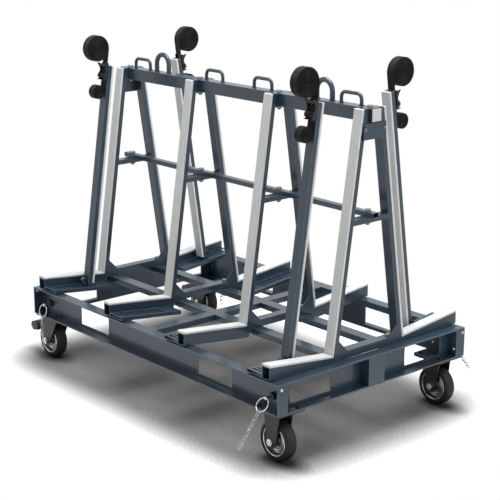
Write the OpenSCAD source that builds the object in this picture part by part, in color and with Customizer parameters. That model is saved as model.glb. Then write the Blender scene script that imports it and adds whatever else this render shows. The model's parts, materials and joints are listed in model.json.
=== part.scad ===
// Slab A-frame cart: a channel steel base on four casters, four leaning frames under a ridge beam,
// padded feet to stand slabs on, notched racks, and four padded posts with webbing straps.
// X runs along the base, Y across it and Z up. The origin is on the floor under the middle of the base.

/* [Base] */
// Length of the base
base_l = 1600; // [1480:10:1800]
// Width of the base
base_w = 1000; // [960:10:1100]
// Height of the base channels
channel_h = 120; // [112:1:140]
// Depth of the base channels, from the web to the open side
channel_d = 48; // [42:1:54]
// Thickness of a channel's web
web_t = 5; // [3:0.5:7]
// Thickness of a channel's flanges
flange_t = 6; // [4:0.5:8]
// Thickness of the plates that close the ends of the long channels
end_plate_t = 5; // [3:0.5:8]
// Width of a fork pocket
fork_w = 203; // [150:1:215]
// Height of a fork pocket
fork_h = 76; // [60:1:80]
// Height of the lip under a fork pocket
fork_lip = 16; // [10:1:20]
// Distance of the side pockets from the ends of the base
fork_side_in = 404; // [340:1:440]
// Distance of the end pockets from the sides of the base
fork_end_in = 199; // [185:1:215]
// Width of the box in the middle of each end
end_box_w = 84; // [60:1:100]
// Width of a stringer under the frames
stringer_w = 50; // [40:1:56]
// Height of a stringer
stringer_h = 25; // [18:1:27]
// Distance of a stringer from the middle of the cart
stringer_y = 125; // [112:1:130]
// Width of the cross members in the middle of the base
cross_w = 50; // [30:1:70]
// Wall of the square tubes
tube_wall = 2.5; // [1.5:0.1:4]

/* [Frames] */
// Distance of the end frames from the ends of the base
frame_in = 68; // [68:1:90]
// Width of a leg and a foot along the cart
leg_w = 40; // [34:1:44]
// Thickness of a leg
leg_t = 20; // [16:1:24]
// Lean of the legs from upright, in degrees
lean = 8.35; // [7.5:0.05:9]
// Height of the top of the legs over the top of the base
frame_h = 926; // [850:1:1000]
// Height of a foot tube
foot_h = 47; // [40:1:52]
// Rise of the feet towards the outside, in degrees
foot_rise = 6.4; // [5:0.1:7]
// Distance of the outer end of a foot from the middle of the cart
foot_reach = 498; // [480:1:500]
// Height of the bar that ties the legs at the bottom
bar_h = 30; // [22:1:36]
// Height of the bar that ties the legs halfway up
tie_h = 20; // [14:1:26]
// Height of the middle tie over the top of the base
tie_up = 502; // [400:1:600]
// Width of a corner gusset
gusset_w = 50; // [30:1:60]
// Height of a corner gusset
gusset_h = 45; // [30:1:60]
// Thickness of a corner gusset
gusset_t = 5; // [3:0.5:8]
// Thickness of the rubber pads
pad_t = 10; // [6:0.5:14]
// Width of the rubber pads
pad_w = 45; // [41:1:50]
// Thickness of the glue under a leg's pad
glue_t = 0.05; // [0.02:0.01:0.2]
// Thickness of the end saddle plates
saddle_t = 8; // [5:0.5:10]
// Half width of an end saddle plate
saddle_reach = 58; // [50:1:64]
// Height of an end saddle plate
saddle_h = 59; // [45:1:70]
// Drop of the saddle plates below the top of the legs
saddle_drop = 53; // [51:1:60]

/* [Ridge] */
// Width and height of the ridge beam
beam_w = 50; // [44:1:60]
// Wall of the ridge beam
beam_wall = 4; // [3:0.5:6]
// Overhang of the ridge beam past the end frames
beam_overhang = 11; // [8:1:40]
// Thickness of the wedges beside the beam at the top of the legs
cradle_t = 5; // [4:0.5:8]
// Thickness of an end cap
cap_t = 5; // [3:0.5:8]
// Amount that an end cap stands out around the beam
cap_proud = 2; // [1:0.5:4]
// Distance between the legs of a carry handle
handle_w = 104; // [90:1:120]
// Height of a carry handle
handle_h = 49; // [40:1:60]
// Diameter of a carry handle's rod
handle_d = 14; // [10:1:16]
// Distance of the carry handles from the frames next to them
handle_in = 95; // [80:1:105]
// Distance between the legs of a lifting bail
bail_w = 83; // [70:1:95]
// Height of a lifting bail
bail_h = 85; // [75:1:110]
// Diameter of a lifting bail's rod
bail_d = 20; // [14:1:22]
// Distance of the lifting bails outwards from the middle between their frames
bail_shift = 8; // [-8:1:12]
// Width of the middle rail
rail_w = 28; // [22:1:40]
// Height of the middle rail
rail_h = 20; // [15:1:30]
// Overhang of the middle rail past the middle of the end frames
rail_overhang = 43; // [30:1:60]

/* [Bolts] */
// Shank diameter of the frame bolts
bolt_d = 12; // [8:1:14]
// Width across the corners of a bolt head
bolt_head_d = 24; // [19:1:27]
// Distance of an end plate's bolt from the side of the base
end_bolt_in = 15; // [12:1:20]
// Distance of an end plate's bolt from the top of the base
end_bolt_down = 19; // [16:1:30]
// Height of a bolt head or nut
bolt_head_h = 9; // [6:0.5:11]
// Length of thread past a nut
bolt_tip = 4; // [2:0.5:6]
// Radial room of a bolt in its hole
bolt_room = 0.3; // [0.2:0.05:0.6]

/* [Racks and posts] */
// Width of a notched rack
rack_w = 84; // [76:1:92]
// Height of a notched rack
rack_h = 16; // [14:0.5:22]
// Wall of a notched rack
rack_wall = 3; // [2:0.25:4]
// Distance of the inner end of a rack from the middle
rack_in = 196; // [193:1:215]
// Number of notches in a rack
notches = 10; // [9:1:11]
// Distance from one notch to the next
notch_pitch = 22; // [20:0.5:23]
// Distance of the first notch from the outer end
notch_start = 18; // [14:0.5:24]
// Width of a notch
notch_w = 12; // [11:0.5:14]
// Length of a notch along the cart
notch_l = 62; // [50:1:66]
// Notch that holds each post, in the order left front, right front, left rear, right rear
post_notches = [8, 6, 6, 8];
// Length of a post's tube
post_l = 958; // [900:1:1000]
// Width of a post along the cart
post_w = 40; // [34:1:46]
// Thickness of a post's tube
post_t = 20; // [16:1:24]
// Thickness of the tongue under a post
tongue_t = 8; // [5:0.5:9]
// Width of the tongue under a post
tongue_w = 36; // [28:1:44]
// Depth that the tongue reaches into the rack
tongue_h = 9; // [6:0.5:10]
// Height of the post over its rack at the middle of its foot
post_room = 0.6; // [0.5:0.05:0.8]
// Diameter of the eye at the foot of a post
eye_d = 28; // [22:1:32]
// Diameter of the hole in that eye
eye_hole_d = 9; // [6:0.5:12]
// Distance of that eye above the foot of the post
eye_up = 19; // [18:1:30]
// Height of the bottom of a post's pad over the foot of the post
post_pad_up = 12; // [8:1:30]

/* [Straps] */
// Width of the webbing
strap_w = 36; // [30:1:38]
// Thickness of the rolled webbing
strap_t = 4.6; // [3:0.1:4.9]
// Step from one loop of a roll to the next
strap_step = 5.4; // [5.4:0.05:5.6]
// Radius of the large roll
roll_r = 56; // [52:1:60]
// Loops in the large roll
roll_loops = 8; // [5:1:8]
// Height of the middle of the large roll over the top of the post
roll_up = 78; // [74:1:90]
// Radius of the small roll
small_roll_r = 31; // [29:1:34]
// Loops in the small roll
small_roll_loops = 4; // [2:1:4]
// Distance of the middle of the small roll below the top of the post
small_roll_down = 110; // [108:1:125]
// Room between the webbing and the ratchet's base plate
strap_room = 0.4; // [0.3:0.1:1]

/* [Ratchets] */
// Length of a ratchet along the post
ratchet_l = 74; // [68:1:80]
// Distance that a ratchet reaches above the top of the post
ratchet_up = 15; // [8:1:17]
// Thickness of the ratchet's plates
ratchet_t = 2.5; // [2:0.25:3]
// Height of the ratchet's side plates off the post above the spool
ratchet_h = 14; // [11:1:15]
// Diameter of the ratchet's spool
spool_d = 11; // [9:0.5:11.5]
// Distance of the spool from the post
spool_out = 14; // [14:0.5:17]
// Distance of the spool from the lower end of the ratchet
spool_up = 20; // [17:1:24]
// Length of the lever from the spool to its grip
lever_l = 43; // [38:1:45]
// Diameter of the lever's grip
grip_d = 13; // [11:0.5:13.5]
// Play between plates that turn past each other
lever_room = 0.4; // [0.3:0.1:0.6]

/* [Casters] */
// Height of a caster from the floor to the base
caster_h = 205; // [200:1:220]
// Diameter of a wheel
wheel_d = 160; // [150:1:164]
// Width of a wheel
wheel_w = 50; // [40:1:54]
// Diameter of a wheel's rim under its tyre
rim_d = 120; // [104:1:128]
// Distance of the middle of a caster from the end of the base
caster_in_x = 75; // [72:1:80]
// Distance of the middle of a caster from the side of the base
caster_in_y = 71; // [68:1:76]
// Length of a caster's plate along the cart
plate_l = 140; // [132:1:142]
// Width of a caster's plate across the cart
plate_w = 128; // [120:1:134]
// Thickness of a caster's plate
plate_t = 8; // [6:0.5:10]
// Distance of the plate's bolts from its edges
plate_bolt_in = 18; // [14:1:20]
// Shank diameter of the plate's bolts
plate_bolt_d = 10; // [8:0.5:12]
// Thickness of the fork's sheet
fork_t = 5; // [4:0.5:6]
// Room between the wheel and the fork
fork_room = 6; // [4:0.5:9]
// Width of a fork's leg at the top
fork_leg_w = 78; // [66:1:86]
// Radius of a fork's leg around the axle
fork_end_r = 26; // [20:1:30]
// Trail of a swivel caster
trail = 40; // [34:1:44]
// Diameter of an axle
axle_d = 16; // [12:1:20]
// Radial play of a wheel on its axle and of a swivel on its pin
turn_room = 0.05; // [0.02:0.01:0.08]
// Width across the corners of an axle's head
axle_head_d = 30; // [24:1:34]
// Height of an axle's head
axle_head_h = 14; // [9:0.5:16]
// Diameter of a swivel's ball race
race_d = 72; // [60:1:78]
// Height of a swivel's ball race
race_h = 10; // [8:0.5:12]
// Play under a swivel's ball race
race_room = 0.3; // [0.2:0.05:0.5]
// Diameter of the kingpin
kingpin_d = 16; // [12:0.5:20]
// Diameter of the kingpin's head
kingpin_head_d = 28; // [24:1:32]
// Height of the kingpin's head
kingpin_head_h = 7; // [5:0.5:8]
// Distance of a brake pedal's pivot from the kingpin
pedal_back = 66; // [64:1:70]
// Diameter of a brake pedal's pivot pin
pedal_pin_d = 8; // [6:0.5:10]
// Diameter of the sleeve around a brake pedal's pivot pin
pedal_sleeve_d = 18; // [15:0.5:19]
// Length of a brake pedal's tread
pedal_l = 54; // [45:1:56]
// Width of a brake pedal's tread
pedal_w = 47; // [36:1:50]
// Thickness of a brake pedal's tread
pedal_t = 27; // [20:1:29]
// Distance of the outer end of the pedal from the kingpin
pedal_reach = 188; // [186:1:200]

/* [Lock pins and chains] */
// Distance of a lock pin from the end of the base
pin_in = 72; // [60:1:85]
// Height of a lock pin over the bottom of the base
pin_up = 53; // [50:1:60]
// Diameter of a lock pin
pin_d = 10; // [8:0.5:10]
// Distance of a lock pin's ball inside the side of the base
ball_in = 6; // [4:0.5:7]
// Diameter of a lock pin's ball
ball_d = 14; // [13:0.5:16]
// Diameter of the boss behind a lock pin
boss_d = 30; // [26:1:36]
// Thickness of the boss behind a lock pin
boss_t = 14; // [8:0.5:16]
// Middle diameter of a chain's ring
ring_d = 54; // [48:1:58]
// Diameter of the ring's wire
ring_wire_d = 4; // [3:0.5:4.5]
// Room around the ring's wire in the ball
ring_room = 0.3; // [0.2:0.05:0.5]
// Number of links in a chain
links = 8; // [4:1:8]
// Outer length of a link
link_l = 26; // [22:1:30]
// Outer width of a link
link_w = 13; // [12:0.5:15]
// Thickness of a link's wire
link_d = 3; // [2:0.25:3.5]
// Play between links
link_room = 0.9; // [0.8:0.05:1.2]
// Outward lean of each ring in degrees: left front, right front, left rear, right rear
ring_leans = [15, 38, 15, 40];
// Outward lean of each chain in the same order
chain_leans = [0, 38, 0, 40];

/* [Colours] */
// Painted steel
paint = "#46525e";
// Rubber pads
pad_grey = "#cfccc8";
// Black painted steel and rubber
black = "#2a2a2c";
// Zinc plated steel
zinc = "#c2c5c8";

/* [Hidden] */

// Overrun of a cut past the face it opens
over = 1;
$fn = 48;
// Corners of a bolt head, and sides of a rod that needs few
hex_sides = 6;
link_sides = 12;
ring_sides = 24;
loop_sides = 24;
mitre_sides = 24;
right_angle = 90;
half_turn = 180;
full_turn = 360;

// The corners of the cart, in the order of post_notches and chain_leans: [x side, y side]
LEFT_FRONT = 0;
RIGHT_FRONT = 1;
LEFT_REAR = 2;
RIGHT_REAR = 3;
corner_sides = [[-1, -1], [1, -1], [-1, 1], [1, 1]];

// Levels of the base
base_top = caster_h + channel_h;
channel_in = base_w / 2 - channel_d;
end_in = base_l / 2 - channel_d;
pocket_z = caster_h + fork_lip + fork_h / 2;
fork_side_x = base_l / 2 - fork_side_in;
fork_end_y = base_w / 2 - fork_end_in;

// Frames: the middle of each, and the side that its racks lie on
frame_pitch = (base_l - 2 * frame_in) / 3;
frame_xs = [for (i = [-1.5:1:1.5]) i * frame_pitch];
rack_sides = [1, 1, -1, -1];
leg_top = base_top + frame_h;
bar_top = base_top + bar_h;
tie_z = base_top + tie_up;
tie_top = tie_z + tie_h;
beam_bottom = leg_top - beam_w;
beam_l = 2 * (frame_xs[3] + leg_w / 2 + beam_overhang);
// Offsets across a leaning leg and a rising foot, measured level and upright
leg_across = leg_t / cos(lean);
leg_glue_across = (leg_t + glue_t) / cos(lean);
leg_pad_across = (leg_t + glue_t + pad_t) / cos(lean);
leg_wall = tube_wall / cos(lean);
foot_up = foot_h / cos(foot_rise);
foot_pad_up = (foot_h + pad_t) / cos(foot_rise);
foot_wall = tube_wall / cos(foot_rise);
rack_up = rack_h / cos(foot_rise);
rack_skin = rack_wall / cos(foot_rise);
rack_offset = leg_w / 2 + rack_w / 2;

// Inner face of a leg at height z, and underside of a foot at distance y from the middle
function leg_in(z) = beam_w / 2 + cradle_t + (leg_top - z) * tan(lean);
function foot_under(y) = base_top + (y - channel_in) * tan(foot_rise);
// Handles and bails on the ridge beam
handle_xs = [frame_xs[2] - handle_in, frame_xs[3] - handle_in];
bail_x = (frame_xs[2] + frame_xs[3]) / 2 + bail_shift;
// Where the foot's underside, moved up, meets the leg's inner face, moved out
function meet(up, out) =
    let (rise = tan(foot_rise), slope = tan(lean))
    let (z = (foot_under(0) + up + rise * (leg_in(0) + out)) / (1 + rise * slope))
    [leg_in(z) + out, z];
leg_foot_z = meet(0, leg_across)[1];

// Posts
post_x = frame_xs[3] - rack_offset;
function notch_y(k) = foot_reach - notch_start - k * notch_pitch;
ratchet_low = post_l + ratchet_up - ratchet_l;
spool_y = post_t / 2 + spool_out;
spool_z = ratchet_low + spool_up;
web_y = post_t / 2 + ratchet_t + strap_room;
roll_y = web_y + roll_r;
roll_z = post_l + roll_up;
small_roll_y = web_y + small_roll_r;
small_roll_z = post_l - small_roll_down;
ratchet_in = strap_w / 2 + 2 * lever_room;
ratchet_out = ratchet_in + ratchet_t;
lever_in = ratchet_out + lever_room;
lever_out = lever_in + ratchet_t;
grip_y = spool_y + grip_d / 3;
grip_z = spool_z + lever_l;

// Casters
caster_x = base_l / 2 - caster_in_x;
caster_y = base_w / 2 - caster_in_y;
plate_z = caster_h - plate_t;
plate_nut_h = 0.7 * race_h;
plate_bolt_tip = 0.15 * race_h;
axle_z = wheel_d / 2;
fork_in = wheel_w / 2 + fork_room;
fork_out = fork_in + fork_t;
crown_top = plate_z - race_h - race_room;
kingpin_head_z = crown_top - fork_t - race_room;
pedal_z = kingpin_head_z - race_room - pedal_pin_d / 2;
pedal_tip_z = axle_z + 1.2 * pedal_t;
pedal_arm_t = fork_t + 3 * race_room;

// Lock pins and chains
pin_z = caster_h + pin_up;
pin_x = base_l / 2 - pin_in;
ball_y = base_w / 2 - ball_in;
ring_sag = ring_d / 2 - sqrt(pow(ring_d / 2, 2) - pow(ball_d / 2, 2));
link_step = link_l - 2 * link_d - link_room;

// An outline in Y and Z, drawn w wide along X
module prism_x(points, w) {
    rotate([right_angle, 0, right_angle])
        linear_extrude(w, center = true)
            polygon(points);
}

// A tube of that outline with a hollow that runs out of its ends
module tube_x(points, hollow, w) {
    difference() {
        prism_x(points, w);
        prism_x(hollow, w - 2 * tube_wall);
    }
}

module both_sides() {
    children();
    mirror([0, 1, 0]) children();
}

module both_ends() {
    children();
    mirror([1, 0, 0]) children();
}

module at_frames() {
    for (x = frame_xs) translate([x, 0, 0]) children();
}

// A box from one corner to the other
module block(low, high) {
    translate(low) cube(high - low);
}

// A block between two heights, centred on the Z axis
module centred_block(l, w, low, high) {
    block([-l / 2, -w / 2, low], [l / 2, w / 2, high]);
}

// A bolt whose head sits at z 0 and whose nut sits below a grip, with a tip of thread past the nut
module bolt(d, head_d, head_h, grip, nut_h, tip) {
    cylinder(d = head_d, h = head_h, $fn = hex_sides);
    translate([0, 0, -grip - nut_h - tip]) cylinder(d = d, h = grip + nut_h + tip + head_h / 2);
    translate([0, 0, -grip - nut_h]) cylinder(d = head_d, h = nut_h, $fn = hex_sides);
}

module frame_bolt(grip) {
    bolt(bolt_d, bolt_head_d, bolt_head_h, grip, bolt_head_h, bolt_tip);
}

module bolt_hole(d, low, high) {
    translate([0, 0, low - over]) cylinder(r = d / 2 + bolt_room, h = high - low + 2 * over);
}

// The four corners of a rectangle, for the bolts of a caster's plate
module plate_bolt_places() {
    for (sx = [-1, 1], sy = [-1, 1])
        translate([sx * (plate_l / 2 - plate_bolt_in), sy * (plate_w / 2 - plate_bolt_in), 0]) children();
}

module at_casters() {
    for (s = corner_sides) translate([s[0] * caster_x, s[1] * caster_y, 0]) children();
}

module plate_bolt_holes() {
    at_casters() plate_bolt_places() bolt_hole(plate_bolt_d, plate_z, caster_h + flange_t);
}

// Outer face of the end plate at the right front corner, with Z pointing out of it
module at_end_bolt() {
    translate([base_l / 2, -base_w / 2 + end_bolt_in, base_top - end_bolt_down])
        rotate([0, right_angle, 0]) children();
}

// Long base channel on the front side, its open side outwards
module long_channel() {
    length = base_l - 2 * end_plate_t;
    difference() {
        translate([-length / 2, -base_w / 2, caster_h]) cube([length, channel_d, channel_h]);
        block([-length / 2 - over, -base_w / 2 - over, caster_h + flange_t],
              [length / 2 + over, -channel_in - web_t, base_top - flange_t]);
        for (s = [-1, 1])
            translate([s * fork_side_x, -channel_in, pocket_z])
                cube([fork_w, 2 * channel_d, fork_h], center = true);
        for (s = [-1, 1])
            translate([s * pin_x, -channel_in, pin_z]) rotate([right_angle, 0, 0])
                bolt_hole(pin_d, -web_t, web_t);
        plate_bolt_holes();
    }
    for (s = [-1, 1])
        difference() {
            translate([s * (base_l / 2 - end_plate_t / 2), -base_w / 2 + channel_d / 2, caster_h + channel_h / 2])
                cube([end_plate_t, channel_d, channel_h], center = true);
            both_ends() at_end_bolt() bolt_hole(end_bolt_d, -end_plate_t, 0);
        }
}

module front_channel() {
    color(paint) long_channel();
}

module rear_channel() {
    color(paint) mirror([0, 1, 0]) long_channel();
}

// End channel on the right, its open side outwards, with its middle box and the caster corners
module end_channel() {
    box_d = channel_d - web_t;
    difference() {
        block([end_in, -channel_in, caster_h], [base_l / 2, channel_in, base_top]);
        block([end_in + web_t, -channel_in - over, caster_h + flange_t],
              [base_l / 2 + over, channel_in + over, base_top - flange_t]);
        for (s = [-1, 1])
            translate([end_in, s * fork_end_y, pocket_z]) cube([2 * channel_d, fork_w, fork_h], center = true);
        plate_bolt_holes();
    }
    difference() {
        block([end_in + web_t, -end_box_w / 2, caster_h + flange_t],
              [base_l / 2, end_box_w / 2, base_top - flange_t]);
        block([end_in + web_t - over, -end_box_w / 2 + tube_wall, caster_h + flange_t - over],
              [end_in + box_d + web_t - tube_wall, end_box_w / 2 - tube_wall, base_top - flange_t + over]);
    }
    for (s = [0, 1]) mirror([0, s, 0])
        difference() {
            block([caster_x - plate_l / 2, caster_y - plate_w / 2, caster_h],
                  [end_in, channel_in, caster_h + flange_t]);
            plate_bolt_holes();
        }
}

module right_end_channel() {
    color(paint) end_channel();
}

module left_end_channel() {
    color(paint) mirror([1, 0, 0]) end_channel();
}

module stringers() {
    color(paint) both_sides()
        difference() {
            block([-end_in, stringer_y - stringer_w / 2, base_top - stringer_h],
                  [end_in, stringer_y + stringer_w / 2, base_top]);
            block([-end_in - over, stringer_y - stringer_w / 2 + tube_wall, base_top - stringer_h + tube_wall],
                  [end_in + over, stringer_y + stringer_w / 2 - tube_wall, base_top - tube_wall]);
            at_frames() translate([0, stringer_y, 0]) bolt_hole(bolt_d, base_top - stringer_h, base_top);
        }
}

// A tube across the cart between two distances from its middle
module cross_tube(y0, y1) {
    difference() {
        block([-cross_w / 2, y0, base_top - stringer_h], [cross_w / 2, y1, base_top]);
        block([-cross_w / 2 + tube_wall, y0 - over, base_top - stringer_h + tube_wall],
              [cross_w / 2 - tube_wall, y1 + over, base_top - tube_wall]);
    }
}

module cross_members() {
    stringer_in = stringer_y - stringer_w / 2;
    color(paint) {
        cross_tube(-stringer_in, stringer_in);
        both_sides() cross_tube(stringer_in + stringer_w, channel_in);
    }
}

// Leg on the rear side, open at the bottom
module leg() {
    tube_x([[leg_in(leg_foot_z), leg_foot_z], [leg_in(leg_foot_z) + leg_across, leg_foot_z],
            [leg_in(leg_top) + leg_across, leg_top], [leg_in(leg_top), leg_top]],
           [[leg_in(leg_foot_z - over) + leg_wall, leg_foot_z - over],
            [leg_in(leg_foot_z - over) + leg_across - leg_wall, leg_foot_z - over],
            [leg_in(leg_top - tube_wall) + leg_across - leg_wall, leg_top - tube_wall],
            [leg_in(leg_top - tube_wall) + leg_wall, leg_top - tube_wall]],
           leg_w);
}

// Foot on the rear side, open at its outer end and seated against its leg
module foot() {
    past = foot_reach + over;
    tube_x([meet(0, leg_across), [foot_reach, foot_under(foot_reach)],
            [foot_reach, foot_under(foot_reach) + foot_up], meet(foot_up, leg_across)],
           [meet(foot_wall, leg_across - over), [past, foot_under(past) + foot_wall],
            [past, foot_under(past) + foot_up - foot_wall], meet(foot_up - foot_wall, leg_across - over)],
           leg_w);
}

// Level tube from leg to leg between two heights, with a bolt hole at each named distance
module leg_tie(low, high, bolt_ys) {
    difference() {
        tube_x([[-leg_in(low), low], [leg_in(low), low], [leg_in(high), high], [-leg_in(high), high]],
               [[-leg_in(low) - over, low + tube_wall], [leg_in(low) + over, low + tube_wall],
                [leg_in(low) + over, high - tube_wall], [-leg_in(low) - over, high - tube_wall]],
               leg_w);
        for (y = bolt_ys) translate([0, y, 0]) bolt_hole(bolt_d, low, high);
    }
}

module gusset() {
    translate([leg_w / 2 - gusset_t / 2, 0, 0])
        prism_x([[leg_in(bar_top), bar_top], [leg_in(bar_top + gusset_h), bar_top + gusset_h],
                 [leg_in(bar_top) - gusset_w, bar_top]], gusset_t);
}

// Wedge between the beam and a leg
module cradle_wedge() {
    prism_x([[beam_w / 2, beam_bottom], [leg_in(beam_bottom), beam_bottom],
             [leg_in(leg_top), leg_top], [beam_w / 2, leg_top]], leg_w);
}

module cradle_plate() {
    low = beam_bottom - cradle_t;
    difference() {
        prism_x([[-leg_in(low), low], [leg_in(low), low],
                 [leg_in(beam_bottom), beam_bottom], [-leg_in(beam_bottom), beam_bottom]], leg_w);
        bolt_hole(bolt_d, low, beam_bottom);
    }
}

// Bolts of the end plates, and where the saddle plates take theirs
end_bolt_d = 0.65 * bolt_d;
end_bolt_head_d = 0.6 * bolt_head_d;
end_bolt_head_h = bolt_head_h / 2;
saddle_bolt_y = leg_in(leg_top - saddle_drop - bolt_head_d / 2) + leg_across / 2;
saddle_bolt_z = leg_top - saddle_drop - bolt_head_d / 2;

// Plate across the outer faces of an end frame's legs
module saddle_plate() {
    difference() {
        block([leg_w / 2, -saddle_reach, leg_top - saddle_drop - saddle_h],
              [leg_w / 2 + saddle_t, saddle_reach, leg_top - saddle_drop]);
        both_sides() translate([leg_w / 2, saddle_bolt_y, saddle_bolt_z]) rotate([0, right_angle, 0])
            bolt_hole(bolt_d / 2, 0, saddle_t);
    }
}

module a_frame(i) {
    color(paint) translate([frame_xs[i], 0, 0]) {
        both_sides() {
            leg();
            foot();
            gusset();
            cradle_wedge();
        }
        leg_tie(base_top, bar_top, [-stringer_y, stringer_y]);
        leg_tie(tie_z, tie_top, [0]);
        cradle_plate();
        if (i == 0) mirror([1, 0, 0]) saddle_plate();
        if (i == 3) saddle_plate();
    }
}

module leg_pads() {
    color(pad_grey) at_frames() both_sides()
        prism_x([meet(foot_pad_up, leg_glue_across), meet(foot_pad_up, leg_pad_across),
                 [leg_in(leg_top) + leg_pad_across, leg_top], [leg_in(leg_top) + leg_glue_across, leg_top]], pad_w);
}

module foot_pads() {
    color(pad_grey) at_frames() both_sides()
        prism_x([meet(foot_up, leg_across), [foot_reach, foot_under(foot_reach) + foot_up],
                 [foot_reach, foot_under(foot_reach) + foot_pad_up], meet(foot_pad_up, leg_across)], pad_w);
}

// Notched racks on the rear side: flat tubes beside the feet, open at both ends
module racks() {
    for (i = [0:len(frame_xs) - 1])
        translate([frame_xs[i] + rack_sides[i] * rack_offset, 0, 0])
            difference() {
                prism_x([[rack_in, foot_under(rack_in)], [foot_reach, foot_under(foot_reach)],
                         [foot_reach, foot_under(foot_reach) + rack_up],
                         [rack_in, foot_under(rack_in) + rack_up]], rack_w);
                rack_hollow(rack_in - over, foot_reach + over);
                for (k = [0:notches - 1])
                    translate([0, notch_y(k), foot_under(notch_y(k)) + rack_up])
                        cube([notch_l, notch_w, rack_up], center = true);
            }
}

module rack_hollow(y0, y1) {
    prism_x([[y0, foot_under(y0) + rack_skin], [y1, foot_under(y1) + rack_skin],
             [y1, foot_under(y1) + rack_up - rack_skin], [y0, foot_under(y0) + rack_up - rack_skin]],
            rack_w - 2 * rack_wall);
}

module rear_racks() {
    color(paint) racks();
}

module front_racks() {
    color(paint) mirror([0, 1, 0]) racks();
}

module ridge_beam() {
    inner = beam_w - 2 * beam_wall;
    color(paint) difference() {
        centred_block(beam_l, beam_w, beam_bottom, leg_top);
        centred_block(beam_l + 2 * over, inner, beam_bottom + beam_wall, leg_top - beam_wall);
        at_frames() bolt_hole(bolt_d, beam_bottom, leg_top);
    }
}

module beam_end_caps() {
    color(pad_grey) for (s = [-1, 1])
        translate([s * (beam_l + cap_t) / 2, 0, 0])
            centred_block(cap_t, beam_w + 2 * cap_proud, beam_bottom - cap_proud, leg_top + cap_proud);
}

// Quarter bend of a rod, from upright to level, around the middle of the bend
module rod_bend(d, r) {
    rotate([right_angle, 0, 0])
        rotate_extrude(angle = right_angle, $fn = mitre_sides)
            translate([r, 0]) circle(d = d, $fn = link_sides + hex_sides);
}

// Rod bent to an upright loop over the beam: two legs, two bends and a level top
module rod_loop(w, h, d, r) {
    level = h - d / 2;
    for (s = [0, 1]) mirror([s, 0, 0]) {
        translate([w / 2, 0, 0]) cylinder(d = d, h = level - r, $fn = link_sides + hex_sides);
        translate([w / 2 - r, 0, level - r]) rod_bend(d, r);
        if (r < w / 2)
            translate([0, 0, level]) rotate([0, right_angle, 0])
                cylinder(d = d, h = w / 2 - r, $fn = link_sides + hex_sides);
    }
}

module carry_handles() {
    color(paint) for (s = [-1, 1], x = handle_xs)
        translate([s * x, 0, leg_top]) rod_loop(handle_w, handle_h, handle_d, 1.5 * handle_d);
}

module lifting_bails() {
    color(paint) for (s = [-1, 1])
        translate([s * bail_x, 0, leg_top]) rod_loop(bail_w, bail_h, bail_d, bail_w / 2);
}

module mid_rail() {
    rail_l = 2 * (frame_xs[3] + rail_overhang);
    color(paint) difference() {
        centred_block(rail_l, rail_w, tie_top, tie_top + rail_h);
        centred_block(rail_l + 2 * over, rail_w - 2 * tube_wall, tie_top + tube_wall, tie_top + rail_h - tube_wall);
        at_frames() bolt_hole(bolt_d, tie_top, tie_top + rail_h);
    }
}

module frame_bolts() {
    color(zinc) {
        at_frames() {
            translate([0, 0, leg_top]) frame_bolt(beam_w + cradle_t);
            translate([0, 0, tie_top + rail_h]) frame_bolt(rail_h + tie_h);
            both_sides() translate([0, stringer_y, bar_top]) frame_bolt(bar_h + stringer_h);
        }
        for (s = [0, 1]) mirror([s, 0, 0]) both_sides()
            translate([frame_xs[3] + leg_w / 2, saddle_bolt_y, saddle_bolt_z]) rotate([0, right_angle, 0]) {
                cylinder(d = bolt_d / 2, h = saddle_t + over);
                translate([0, 0, saddle_t]) cylinder(d = bolt_d, h = bolt_head_h / 2, $fn = hex_sides);
            }
        both_ends() both_sides() at_end_bolt()
            bolt(end_bolt_d, end_bolt_head_d, end_bolt_head_h, end_plate_t, end_bolt_head_h, end_bolt_head_h / 2);
    }
}

// Plates of the four casters; the left pair carries ball races and kingpins
module caster_plates() {
    color(black) at_casters()
        difference() {
            centred_block(plate_l, plate_w, plate_z, caster_h);
            plate_bolt_places() bolt_hole(plate_bolt_d, plate_z, caster_h);
        }
    color(zinc) for (s = [-1, 1]) translate([-caster_x, s * caster_y, 0]) {
        translate([0, 0, plate_z - race_h]) cylinder(d = race_d, h = race_h);
        translate([0, 0, kingpin_head_z]) cylinder(d = kingpin_d, h = plate_z - race_h - kingpin_head_z);
        translate([0, 0, kingpin_head_z - kingpin_head_h]) cylinder(d = kingpin_head_d, h = kingpin_head_h);
    }
}

module plate_bolts() {
    color(zinc) at_casters() plate_bolt_places()
        translate([0, 0, caster_h + flange_t])
            bolt(plate_bolt_d, 1.8 * plate_bolt_d, plate_nut_h, plate_t + flange_t, plate_nut_h, plate_bolt_tip);
}

// One cheek of a fork: wide at the top, round at the axle, with an ear for the pedal if there is one
module fork_cheek(top, back, ear) {
    half = fork_leg_w / 2;
    low = top - 2 * fork_t;
    ear_r = pedal_pin_d;
    outline = ear
        ? [[half, top], [half, low], [fork_end_r - back, axle_z], [-fork_end_r - back, axle_z],
           [-pedal_back - ear_r, pedal_z - ear_r], [-pedal_back - ear_r, top]]
        : [[half, top], [half, low], [fork_end_r - back, axle_z], [-fork_end_r - back, axle_z],
           [-half, low], [-half, top]];
    difference() {
        rotate([right_angle, 0, 0]) linear_extrude(fork_t, center = true)
            difference() {
                union() {
                    polygon(outline);
                    translate([-back, axle_z]) circle(r = fork_end_r);
                }
                translate([-back, axle_z]) circle(d = axle_d);
            }
        if (ear) translate([-pedal_back, 0, pedal_z]) rotate([right_angle, 0, 0])
            cylinder(d = pedal_pin_d, h = fork_t + 2 * over, center = true);
    }
}

module axle(back) {
    reach = fork_out + axle_head_h;
    translate([-back, 0, axle_z]) rotate([right_angle, 0, 0]) {
        cylinder(d = axle_d, h = 2 * reach, center = true);
        for (s = [0, 1]) mirror([0, 0, s])
            translate([0, 0, fork_out]) cylinder(d = axle_head_d, h = axle_head_h * 0.75, $fn = hex_sides);
    }
}

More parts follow.
